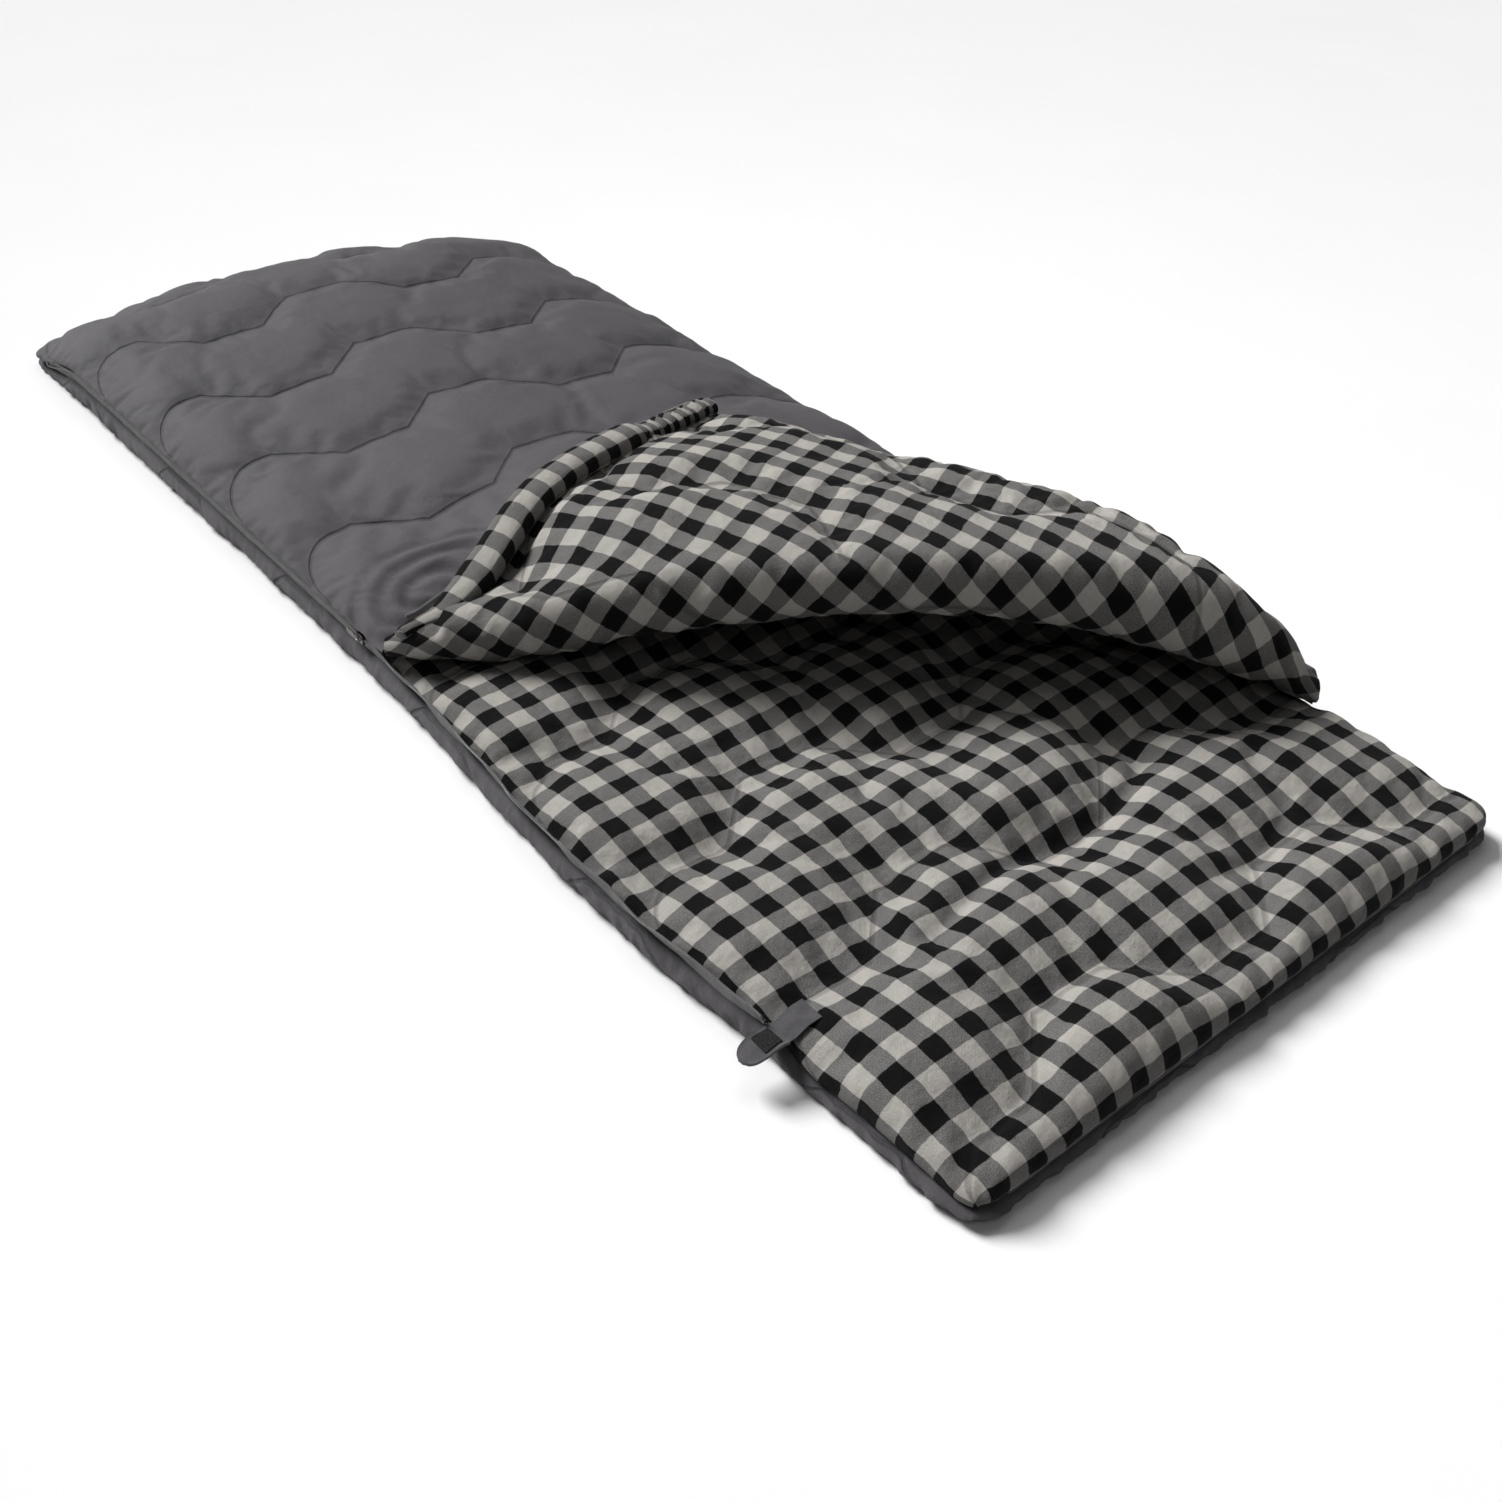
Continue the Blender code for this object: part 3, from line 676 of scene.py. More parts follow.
def placed(n, group, **given):
    node = n.add("ShaderNodeGroup", node_tree=group)
    for name, value in given.items():
        n.put(node.inputs[name], value)
    return node.outputs


def raise_by(n, surface, height, distance, strength=1.0):
    node = n.add("ShaderNodeBump")
    node.inputs["Strength"].default_value = strength
    node.inputs["Distance"].default_value = distance
    n.put(node.inputs["Height"], height)
    n.put(surface.inputs["Normal"], node.outputs[0])


def tone(red, green, blue):
    """A screen colour, 0 to 255, as the light that it stands for."""
    shares = (c / 255 for c in (red, green, blue))
    return (*(((c + 0.055) / 1.055) ** 2.4 if c > 10.2 / 255 else c / 12.92 for c in shares), 1.0)


def woven_shell(name, dark, light):
    """Plain grey shell cloth, a little faded in patches, with its quilting drawn in, and painted shade
    darkening its colour along the quilting grooves.
    """
    tint = (0.8, 0.8, 0.85, 1)
    material, n, surface = new_material(name, 0.62, sheen=0.08, sheen_tint=tint, specular=0.35)
    cloth = cloth_map(n)
    place = own_place(n)
    weave = placed(n, PLAIN_WEAVE, Map=cloth, Threads=1100.0, Unevenness=0.35)
    patches = placed(n, SOFT_PATCHES, Place=place, Size=5.0)["Mask"]
    base = n.blend(patches, dark, light)
    threads = n.spread(weave["Slub"], -0.35, 0.35)
    sewn = placed(n, QUILTING, Map=cloth, Crest=TOP_CREST)
    woven = n.blend(n.times(threads, 0.18), base, tone(108, 105, 108))
    # painted shade: the colour darkens along the quilting grooves, where shade falls in the creases
    groove_painted_shade = n.blend(n.times(sewn["Groove"], 0.55), woven, tone(26, 25, 27))
    n.put(surface.inputs["Base Color"], n.blend(sewn["Stitches"], groove_painted_shade, tone(70, 68, 72)))
    n.put(surface.inputs["Roughness"], n.spread(patches, 0, 1, 0.58, 0.70, "LINEAR"))
    crumple = n.noise(place, 55.0, 4.0, 0.6)
    relief = n.plus(n.times(weave["Height"], 0.10), crumple)
    drawn_in = n.times(sewn["Groove"], 1.2)
    raise_by(n, surface, n.minus(relief, drawn_in), 0.0018, 0.8)
    return material


def brushed_check(name, white, grey, black, crest=None):
    """Yarn-dyed check: two sets of stripes that cross, with the nap brushed up. Given a crest, painted
    shade darkens its colour along the quilting grooves.
    """
    material, n, surface = new_material(name, 0.92, sheen=0.03, specular=0.10)
    cloth = cloth_map(n)
    parts = n.add("ShaderNodeSeparateXYZ")
    fine = n.times(n.minus(n.noise(cloth, 160.0, 2.0), 0.5), 0.16)
    broad = n.times(n.minus(n.noise(cloth, 38.0, 2.0), 0.5), 0.75)
    wobble = n.plus(fine, broad)
    n.put(parts.inputs[0], cloth)
    nap = placed(n, BRUSHED_NAP, Map=cloth, Fineness=1.0)
    weave = placed(n, PLAIN_WEAVE, Map=cloth, Threads=520.0, Unevenness=0.5)
    stripes = []
    for axis in (0, 1):
        turn = n.times(parts.outputs[axis], FULL_TURN / CHECK_REPEAT)
        stripes.append(n.spread(n.plus(n.math("SINE", turn), wobble), -0.07, 0.07))
    both = n.times(stripes[0], stripes[1])
    either = n.math("MAXIMUM", stripes[0], stripes[1])
    speckle = n.spread(n.noise(cloth, 900.0, 2.0, 0.8), 0.35, 0.65)
    heather = n.blend(speckle, grey, tone(135, 133, 130))
    ground = n.blend(n.times(nap["Patches"], 0.35), white, tone(150, 146, 140))
    crossed = n.blend(either, ground, heather)
    darkest = n.blend(n.times(speckle, 0.05), black, tone(80, 80, 80))
    color = n.blend(both, crossed, darkest)
    shade = n.spread(weave["Slub"], -0.4, 0.4, 0.90, 1.06)
    lit = n.add("ShaderNodeMix", data_type="RGBA", blend_type="MULTIPLY")
    lit.inputs[0].default_value = 1
    n.put(lit.inputs[6], color)
    combine = n.add("ShaderNodeCombineColor")
    for socket in combine.inputs:
        n.put(socket, shade)
    n.put(lit.inputs[7], combine.outputs[0])
    crumple = n.noise(cloth, 62.0, 3.0, 0.55)
    height = n.plus(nap["Height"], n.times(weave["Height"], 0.25))
    height = n.plus(height, n.times(crumple, 2.2))
    final = lit.outputs[2]
    if crest is not None:
        sewn = placed(n, QUILTING, Map=cloth, Crest=crest)
        # painted shade: the lining's colour darkens along its quilting grooves
        final = n.blend(n.times(sewn["Groove"], 0.30), final, tone(20, 20, 20))
        height = n.minus(height, sewn["Groove"])
    n.put(surface.inputs["Base Color"], final)
    raise_by(n, surface, height, 0.0014, 0.9)
    return material


def tape_weave(name, dark, light, threads):
    """Ribbed narrow fabric: zip tape, binding and webbing. Its colour is lighter on the threads and
    darker between them as painted shade, mixed with real patches of wear.
    """
    material, n, surface = new_material(name, 0.72, sheen=0.2, specular=0.3)
    cloth = cloth_map(n)
    weave = placed(n, PLAIN_WEAVE, Map=cloth, Threads=threads, Unevenness=0.2)
    # painted shade between the threads, from the weave's height, which also carries real thread
    # unevenness; the patches are real wear
    share = n.spread(weave["Height"], -0.2, 1.0)
    patches = placed(n, SOFT_PATCHES, Place=cloth, Size=60.0)["Mask"]
    rib_shade_and_wear = n.times(n.plus(share, patches), 0.5)
    n.put(surface.inputs["Base Color"], n.blend(rib_shade_and_wear, dark, light))
    raise_by(n, surface, weave["Height"], 0.0006, 0.8)
    return material


def moulded_nylon(name, color):
    """Zip coil: smooth grey plastic with a faint grain."""
    material, n, surface = new_material(name, 0.38, specular=0.5)
    place = own_place(n)
    grain = n.noise(place, 400.0, 3.0)
    rubbed = n.spread(grain, 0.3, 0.7, 0.0, 0.35)
    n.put(surface.inputs["Base Color"], n.blend(rubbed, color, tone(60, 60, 62)))
    n.put(surface.inputs["Roughness"], n.spread(grain, 0.3, 0.7, 0.32, 0.5))
    raise_by(n, surface, grain, 0.0003, 0.5)
    return material


def cast_zinc(name):
    """Slider metal: dark, tumbled and lightly scratched."""
    material, n, surface = new_material(name, 0.34, metallic=1.0)
    place = own_place(n)
    scratches = n.noise(place, 700.0, 4.0, 0.7)
    patches = placed(n, SOFT_PATCHES, Place=place, Size=180.0)["Mask"]
    n.put(surface.inputs["Base Color"], n.blend(patches, tone(70, 68, 70), tone(112, 108, 106)))
    n.put(surface.inputs["Roughness"], n.spread(scratches, 0.25, 0.75, 0.26, 0.48))
    raise_by(n, surface, scratches, 0.0002, 0.4)
    return material


def hook_patch(name):
    """Hook half of the tab's fastener: a black field of tiny hooks, with painted shade darker between
    them.
    """
    material, n, surface = new_material(name, 0.55, specular=0.4)
    cloth = cloth_map(n)
    hooks = n.add("ShaderNodeTexVoronoi")
    n.put(hooks.inputs["Vector"], cloth)
    hooks.inputs["Scale"].default_value = 900
    near = hooks.outputs["Distance"]
    # painted shade: darker between the raised hooks
    between = n.spread(near, 0.1, 0.6)
    n.put(surface.inputs["Base Color"], n.blend(between, tone(46, 46, 48), tone(12, 12, 13)))
    raise_by(n, surface, n.minus(1.0, near), 0.0012, 1.0)
    return material


SHELL = woven_shell("woven_shell_grey", tone(69, 66, 69), tone(77, 74, 78))
CHECK_TONES = (tone(184, 180, 174), tone(84, 84, 83), tone(9, 9, 10))
TUBE_LINING = brushed_check("brushed_check_tube", *CHECK_TONES)
TOP_LINING = brushed_check("brushed_check_top", *CHECK_TONES, crest=TOP_CREST)
BOTTOM_LINING = brushed_check("brushed_check_bottom", *CHECK_TONES, crest=BOTTOM_CREST)
TAPE = tape_weave("zip_tape_grey", tone(84, 83, 85), tone(130, 129, 130), 900.0)
BINDING = tape_weave("edge_binding_grey", tone(62, 60, 63), tone(92, 90, 93), 700.0)
WEBBING = tape_weave("tab_webbing_grey", tone(58, 56, 59), tone(94, 92, 95), 480.0)
COIL = moulded_nylon("zip_coil_nylon", tone(126, 125, 126))
ZINC = cast_zinc("slider_zinc_dark")
HOOKS = hook_patch("hook_patch_black")


def dress(piece, material):
    piece.data.materials.clear()
    piece.data.materials.append(material)
    return piece


# Bottom panel


def side_seam_height(s, y):
    """Height of the seam between lining and shell, low where the panel's edge is free. s is 0
    on the sewn side and 1 on the zip side."""
    sewn = mix(0.043, 0.020, ease((y - 0.80) / 0.12))
    zipped = mix(0.036, 0.020, ease((y - 0.845) / 0.06))
    return mix(sewn, zipped, s)


def valley(x, y, path, depth, width):
    """A soft crease along a path."""
    path = np.array(path)
    near = np.full(np.shape(x), 9.0)
    for a, b in zip(path[:-1], path[1:]):
        span = b - a
        share = np.clip(((x - a[0]) * span[0] + (y - a[1]) * span[1]) / (span @ span), 0, 1)
        near = np.minimum(near, np.hypot(x - a[0] - share * span[0], y - a[1] - share * span[1]))
    return -depth * np.exp(-np.abs(near / width) ** 1.3)


# Creases that were pressed into the lining, as paths seen from above.
HOOK_CREASE = [
    (0.25, 0.86),
    (0.11, 0.823),
    (0.017, 0.83),
    (-0.046, 0.836),
    (-0.116, 0.822),
    (-0.17, 0.793),
    (-0.160, 0.72),
]
SHORT_CREASES = (
    [(0.23, 0.79), (0.21, 0.735)],
    [(0.30, 0.868), (0.26, 0.80)],
    [(0.17, 0.55), (0.13, 0.62), (0.16, 0.66)],
    [(0.34, 0.60), (0.29, 0.64)],
    [(-0.25, 0.95), (-0.15, 0.99), (-0.05, 0.985)],
)


def cut_round(x, y, depth_x, depth_y, reach, most):
    """Draws a cloth's square corners in until they are round, by its depth in from its edges."""
    p = np.clip((reach - depth_x) / reach, 0, most)
    q = np.clip((reach - depth_y) / reach, 0, most)
    round_share = np.maximum(p, q) / np.maximum(np.hypot(p, q), 1e-9)
    pull = np.where((p > 0) & (q > 0), 1 - round_share, 0)
    return x - np.sign(x) * pull * p * reach, y - np.sign(y) * pull * q * reach


LINING_REACH = 0.034


def bottom_lining_place(s, t):
    reach = LINING_REACH
    used = flat_length(reach)
    length = 2 * (HEAD_Y + used)
    from_foot, from_head = t * length, (1 - t) * length
    out_foot, share_foot = roll(from_foot, reach)
    out_head, share_head = roll(from_head, reach)
    y = np.where(t < 0.5, FOOT_Y + 0.013 - out_foot, HEAD_Y + 0.008 + out_head)
    share_y = np.where(t < 0.5, share_foot, share_head)
    right = edge_x(y) - mix(0.009, 0.004, ease((y - 0.845) / 0.06))
    left = HALF_WIDTH - 0.004
    width = right + left + 2 * used
    out_left, share_left = roll(s * width, reach)
    out_right, share_right = roll((1 - s) * width, reach)
    x = np.where(s < 0.5, -left - out_left, right + out_right)
    share = np.where(s < 0.5, share_left, share_right) * share_y
    depth_x = np.where(s < 0.5, left + x, right - x)
    depth_y = np.where(t < 0.5, y - FOOT_Y, HEAD_Y + 0.012 - y)
    x, y = cut_round(x, y, depth_x, depth_y, 0.032, 1.3)
    flat = np.stack([s * width - left - used, t * length - HEAD_Y - used], axis=1)
    pinch = foot_pinch(x, y)
    seam = mix(np.where(t < 0.5, 0.040, 0.020), side_seam_height(s, y), share_y)
    seam = seam - SEAM_DROP * pinch
    open_part = ease((y - fold_y(x) + 0.25) / 0.25)
    valleys = quilted(x, y, 0.014, crest=BOTTOM_CREST, sharp=0.3) * mix(0.7, 1.0, open_part)
    full = 0.056 + valleys - LINING_DROP * pinch
    full += open_part * (
        valley(x, y, HOOK_CREASE, 0.016, 0.016)
        + 0.014 * bump(x, y, 0.0, 0.745, 0.15, 0.055)
        + 0.008 * bump(x, y, -0.28, 0.90, 0.10, 0.07)
        + 0.006 * bump(x, y, 0.25, 0.95, 0.12, 0.06)
        + 0.006 * bump(x, y, 0.02, 0.93, 0.12, 0.05)
        + sum(valley(x, y, path, 0.007, 0.012) for path in SHORT_CREASES)
    )
    points = on_floor(x, y)
    full += 0.0035 * cloud(points, 0.11, 3) + 0.0022 * cloud(points, 0.03, 4)
    under = np.where(y < fold_y(x) + 0.02, ceiling(x, y) - 0.003, 1.0)
    full = np.minimum(full, under)
    # the cloth is gathered a little by its seams
    ripple = cloud(points, 0.020, 5)
    z = seam + (full - seam) * share + 0.0022 * ripple * (1 - share) * share * 4
    return np.stack([x, y, z], axis=1), flat


def stitch_hold(gap, at_edge):
    """How firmly each point is held: fully at seams and quilting."""
    held = np.clip(1.5 - gap / 0.006, 0, 1)
    return np.maximum(held, at_edge)


def edge_hold(share, columns, rows):
    """Holds the outer rows of a grid."""
    s, t = share[:, 0], share[:, 1]
    margin = np.minimum(np.minimum(s, 1 - s) * columns, np.minimum(t, 1 - t) * rows)
    return (margin < 1.4).astype(float)


columns, rows = 100, 240
bottom_lining, share = lay_cloth("bottom_lining_quilt", columns, rows, bottom_lining_place)
points = points_of(bottom_lining)
gap = from_stitching(points[:, 0], points[:, 1], crest=BOTTOM_CREST)
under_top = points[:, 1] < fold_y(points[:, 0]) - 0.30
held = stitch_hold(gap, np.maximum(edge_hold(share, columns, rows), under_top))
swell(bottom_lining, held, 1.6, 0.035, 0.011)
refine(bottom_lining)
dress(bottom_lining, BOTTOM_LINING)
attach(bottom_lining, "bag")
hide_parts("bottom_lining")


def bottom_outline(count):
    """The bottom panel's outline, evenly spaced, clockwise from above: its points, their
    outward directions and their distances along it."""
    radius, head = 0.034, HEAD_Y + 0.012
    along = np.linspace(FOOT_Y + radius, head - radius, 400)
    turn = np.linspace(0, 1, 24) * np.pi / 2
    out, up = radius * np.cos(turn), radius * np.sin(turn)
    left, right, low, high = -HALF_WIDTH + radius, HALF_WIDTH - radius, FOOT_Y + radius, head - radius
    parts = [
        (np.full(400, -HALF_WIDTH), along),
        (left - out, high + up),
        (right + up, high + out),
        (edge_x(along[::-1]), along[::-1]),
        (right + out, low - up),
        (left - up, low - out),
    ]
    line = np.concatenate([np.stack(part, axis=1) for part in parts])
    line = np.concatenate([line, line[:1]])
    steps = np.linalg.norm(np.diff(line, axis=0), axis=1)
    line = line[np.concatenate([[True], steps > 1e-6])]
    length = distance_along(line)
    at = np.linspace(0, length[-1], count, endpoint=False)
    line = np.stack([np.interp(at, length, line[:, i]) for i in (0, 1)], axis=1)
    ahead = unit(np.roll(line, -1, axis=0) - np.roll(line, 1, axis=0))
    return line, np.stack([-ahead[:, 1], ahead[:, 0]], axis=1), at


EDGE_COUNT = 1200
EDGE_LINE, EDGE_OUT, EDGE_LENGTH = bottom_outline(EDGE_COUNT)
# The shell's levels: rings in under the bag, up its wall, then two turned in at the seam.
UNDERSIDE = (0.16, 0.08, 0.035)
WALL_TURNS = np.radians(np.linspace(-90, 72, 12))
TURNED_IN = (0.014, 0.060)
SHELL_LEVELS = len(UNDERSIDE) + len(WALL_TURNS) + len(TURNED_IN)
LEVEL_TURNS = np.concatenate([np.full(len(UNDERSIDE), -np.pi / 2), WALL_TURNS, [np.pi / 2] * 2])
LEVEL_INWARD = np.concatenate([UNDERSIDE, np.zeros(len(WALL_TURNS)), TURNED_IN])


def bottom_wall_place(k, row):
    """The shell under the bag and up its puckered edge to the seam."""
    index = np.rint(k * EDGE_COUNT).astype(int) % EDGE_COUNT
    x, y = EDGE_LINE[index].T
    on_zip_side = x > 0
    cover = np.where(on_zip_side & (y < 0.86), 0.003, 0.001)
    beside = side_seam_height(on_zip_side.astype(float), y) + cover
    seam = np.where(y > HEAD_Y - 0.05, 0.022, beside) - SEAM_DROP * foot_pinch(x, y)
    level = np.rint(row * (SHELL_LEVELS - 1)).astype(int)
    turn, inward = LEVEL_TURNS[level], LEVEL_INWARD[level]
    around = np.stack([x, y, turn * 0.012], axis=1)
    pucker = cloud(around, 0.019, 8, 2) * 0.0042 + cloud(around, 0.075, 9, 2) * 0.0035
    belly = np.cos(turn) ** 0.8
    push = np.where(inward > 0, -inward, -0.009 + 0.0150 * belly + pucker * belly)
    z = seam / 2 * (1 + np.sin(turn)) - np.clip(inward * 0.7, 0, 0.030) * (turn > 0) + 0.0006
    z = np.where(turn <= -np.pi / 2 + 1e-6, 0.0004, np.maximum(z, 0.003))
    out_x, out_y = EDGE_OUT[index].T
    made = np.stack([x + out_x * push, y + out_y * push, z], axis=1)
    return made, np.stack([k * EDGE_LENGTH[-1], turn * 0.02 - inward], axis=1)


bottom_shell = ring_body("bottom_shell_quilt", EDGE_COUNT, SHELL_LEVELS, bottom_wall_place)
dress(bottom_shell, SHELL)
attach(bottom_shell, "bag")
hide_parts("bottom_outer_shell", "bottom_batting")


# Top panel


def slider_folds(x, y):
    """Loops of slack cloth pushed up by the fold beside the slider."""
    from_middle = np.hypot((x - 0.352) * 0.80, (y - 0.036) * 1.10)
    window = ease((0.115 - from_middle) / 0.03)
    crest = np.abs(np.sin(np.pi * from_middle / 0.030 + 0.8 * np.sin(17 * (x + y))))
    return 0.014 * (crest - 0.6) * window


def top_shell_place(s, t):
    sewn_reach, zip_reach, foot_reach, ahead = 0.018, 0.050, 0.055, 0.004
    width = 2 * (HALF_WIDTH + 0.0005) + flat_length(sewn_reach) + flat_length(zip_reach)
    out_left, share_left = roll(s * width, sewn_reach)
    out_right, share_right = roll((1 - s) * width, zip_reach)
    left = s * width < sewn_reach * 2.2
    x = np.where(left, -HALF_WIDTH - out_left, HALF_WIDTH + 0.0005 + out_right)
    share_x = np.where(left, share_left, share_right)
    length = fold_y(np.clip(x, -HALF_WIDTH, HALF_WIDTH)) + ahead - FOOT_Y + flat_length(foot_reach)
    out_foot, share_foot = roll(t * length, foot_reach)
    y = FOOT_Y + 0.002 - out_foot
    x, y = cut_round(x, y, HALF_WIDTH - np.abs(x), y - FOOT_Y, 0.045, 1.2)
    inside_x = np.clip(x, -HALF_WIDTH, HALF_WIDTH)
    points = on_floor(x, y)
    pinch = foot_pinch(x, y)
    full = top_surface(inside_x, np.maximum(y, FOOT_Y)) + 0.001
    full = full + quilted(x, y, 0.010) * (1 - 0.6 * pinch)
    full += 0.0040 * cloud(points, 0.16, 11)
    full += 0.0014 * cloud(points * (1.0, 0.5, 1.0), 0.035, 12)
    full += slider_folds(x, y) - 0.040 * pinch
    to_zip = ease(s * 3 - 1) * share_foot
    seam = mix(mix(0.044, 0.046, share_foot), 0.0635, to_zip)
    seam = seam - mix(SEAM_DROP, ZIP_DROP, to_zip) * pinch
    ripple = cloud(points * (0.3, 1.0, 1.0), 0.018, 13, 2)
    ripple = ripple * np.where(share_foot < 0.9, 0.5, 1.0)
    share = share_x * share_foot
    z = seam + (full - seam) * share + 0.0016 * ripple * (1 - share) * share * 4
    flat_x = s * width - HALF_WIDTH - flat_length(sewn_reach)
    flat_y = t * length + FOOT_Y + 0.002 - flat_length(foot_reach)
    return np.stack([x, y, z], axis=1), np.stack([flat_x, flat_y], axis=1)


columns, rows = 100, 170
top_shell, share = lay_cloth("top_shell_quilt", columns, rows, top_shell_place)
points = points_of(top_shell)
held = stitch_hold(from_stitching(points[:, 0], points[:, 1]), edge_hold(share, columns, rows))
swell(top_shell, held, 1.3, 0.024, 0.007)
refine(top_shell)
dress(top_shell, SHELL)
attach(top_shell, "bag")
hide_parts("top_outer_shell", "top_batting")


def inner_lining_place(s, t):
    """The lining under the closed part of the top panel."""
    half = mix(HALF_WIDTH - 0.050, HALF_WIDTH - 0.002, np.sqrt(np.clip(t / 0.03, 0, 1)))
    x = mix(-half, half, s)
    y = mix(FOOT_Y + 0.022, fold_y(x) - 0.185, t)
    edge = np.minimum(np.minimum(s, 1 - s) * 0.88, t * 1.2)
    pinch = foot_pinch(x, y)
    swelling = quilted(x, y, 0.006) * ease(edge / 0.04) * (1 - pinch)
    z = ceiling(x, y) - swelling - 0.001 - 0.034 * pinch
    return np.stack([x, y, z], axis=1), np.stack([x, y], axis=1)


inner_lining, share = lay_cloth("top_lining_inside", 70, 110, inner_lining_place, flip=True)
dress(inner_lining, TOP_LINING)
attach(inner_lining, "bag")
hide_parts("top_lining")


# Folded flap

INSIDE_DEPTH = 0.20
INSIDE_ROWS, NOSE_ROWS, FLAP_ROWS = 18, 14, 66
FOLDING_STEPS = 20


def from_zip_edge(a, b):
    """Distance from the flap's zip edge. The flap narrows towards its hem."""
    return a * FOLD_LENGTH * mix(1.0, FLAP_HEM_SHARE, b)


def flap_edges(a, b):
    """How far the flap's rolled edges have risen to its full height."""
    zip_side = roll(from_zip_edge(a, b), 0.034, -0.35)[1]
    sewn_side = roll(from_zip_edge(1 - a, b), 0.040, -0.35)[1]
    hem = roll((1 - b) * 0.60, 0.036, -0.35)[1]
    return zip_side * sewn_side * hem


def flap_surface(a, b):
    """The flap's upper side, quilted, with a soft dent beside the draught tube."""
    base = flap_base(a, b) + 0.011 * ease((b - 0.02) / 0.1)
    x, y = np.moveaxis(flap_plan(a, b), -1, 0)
    flat = flap_cloth(a, b)
    points = on_floor(x, y)
    dent = np.exp(-(((from_zip_edge(a, b) - 0.062) / 0.014) ** 2))
    full = flap_height(a, b) + quilted(flat[:, 0], flat[:, 1], 0.011, sharp=0.35) * ease(b / 0.15)
    full += 0.0040 * cloud(points, 0.12, 21) + 0.0026 * cloud(points, 0.028, 22)
    full -= 0.012 * dent * ease((b - 0.03) / 0.1)
    return base + (full - base) * flap_edges(a, b)


def flap_lining_place(s, t):
    """The flap's lining: from inside the bag, round the fold's nose, then back to the hem."""
    a = 1 - s
    row = t * (INSIDE_ROWS + NOSE_ROWS + FLAP_ROWS)
    front = fold_point(a)
    inside = np.clip((INSIDE_ROWS - row) / INSIDE_ROWS, 0, 1) * INSIDE_DEPTH
    turn = np.pi * np.clip((row - INSIDE_ROWS) / NOSE_ROWS, 0, 1) - np.pi / 2
    b = np.clip((row - INSIDE_ROWS - NOSE_ROWS) / FLAP_ROWS, 0, 1)
    x = np.clip(front[:, 0], -HALF_WIDTH + 0.002, HALF_WIDTH - 0.002)
    low = ceiling(x, front[:, 1]) - 0.001
    high = flap_surface(a, np.zeros_like(a))
    radius = np.maximum((high - low) / 2, 0.004)
    nose = front + FOLD_OUT * (radius * 0.85 * np.cos(turn))[:, None]
    z_nose = (high + low) / 2 + radius * np.sin(turn)
    plan = flap_plan(a, b)
    in_y = front[:, 1] - inside
    z_inside = ceiling(x, in_y) - 0.001
    is_inside = (row < INSIDE_ROWS)[:, None]
    is_nose = (row <= INSIDE_ROWS + NOSE_ROWS)[:, None]

    def choose(when_inside, when_nose, when_flap):
        return np.where(is_inside, when_inside, np.where(is_nose, when_nose, when_flap))

    made = choose(
        np.stack([x, in_y, z_inside], axis=1),
        np.stack([*nose.T, z_nose], axis=1),
        np.stack([*plan.T, flap_surface(a, b)], axis=1),
    )
    flat_nose = front + FOLD_OUT * (0.035 * (turn + np.pi / 2))[:, None]
    flat_inside = front - np.stack([np.zeros_like(inside), inside], axis=1)
    crumple = cloud(made, 0.028, 24) * 0.0016
    made[:, 1] += np.where((is_nose & ~is_inside)[:, 0], crumple, 0)
    return made, choose(flat_inside, flat_nose, flap_cloth(a, b))


columns, rows = 122, INSIDE_ROWS + NOSE_ROWS + FLAP_ROWS
flap_lining, share = lay_cloth("flap_lining_quilt", columns, rows, flap_lining_place, flip=True)
row = share[:, 1] * rows
a, b = 1 - share[:, 0], np.clip((row - INSIDE_ROWS - NOSE_ROWS) / FLAP_ROWS, 0, 1)
flat = flap_cloth(a, b)
gap = np.where(b > 0.1, from_stitching(flat[:, 0], flat[:, 1]), 1.0)
held = stitch_hold(gap, np.maximum(edge_hold(share, columns, rows), row < INSIDE_ROWS * 0.7))
group = flap_lining.vertex_groups.new(name="folding")
turning = ease((row - INSIDE_ROWS * 0.9) / (NOSE_ROWS * 1.6))
for step in range(1, FOLDING_STEPS + 1):
    members = np.nonzero(np.rint(turning * FOLDING_STEPS) == step)[0].tolist()
    if members:
        group.add(members, step / FOLDING_STEPS, "REPLACE")
swell(flap_lining, held, 1.7, 0.035, 0.009)
keep_under(flap_lining, FLAP_TOP, 0.010)
refine(flap_lining)
dress(flap_lining, TOP_LINING)
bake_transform(flap_lining)
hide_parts("flap_lining", "flap_batting")


SHELL_SPAN = 1.06
TURNED_UP = 0.06


def flap_shell_place(s, t):
    """The flap's shell, face down on the top panel and turned up at its edges."""
    a = 1 - s
    b = np.clip(t * SHELL_SPAN, 0, 1)
    over = np.clip(t * SHELL_SPAN - 1, 0, 1)
    edge = flap_edges(a, np.minimum(b, 1.0))
    base = flap_base(a, b) - 0.0015
    top = base + 0.0125
    z = base + (top - base) * (1 - np.clip(edge * 1.6, 0, 1)) ** 1.5 * ease(b / 0.06)
    plan = flap_plan(a, b)
    back = (FLAP_SEAM_CORNER - FLAP_ZIP_CORNER)[::-1] * (1, -1)
    back = -back / np.linalg.norm(back)
    risen = np.clip(over / TURNED_UP, 0, 1)
    plan = plan + back * (0.004 * np.sin(np.pi * risen))[:, None]
    z = np.where(over > 0, mix(base + 0.002, top, risen), z)
    return np.stack([*plan.T, z], axis=1), flap_cloth(a, b)


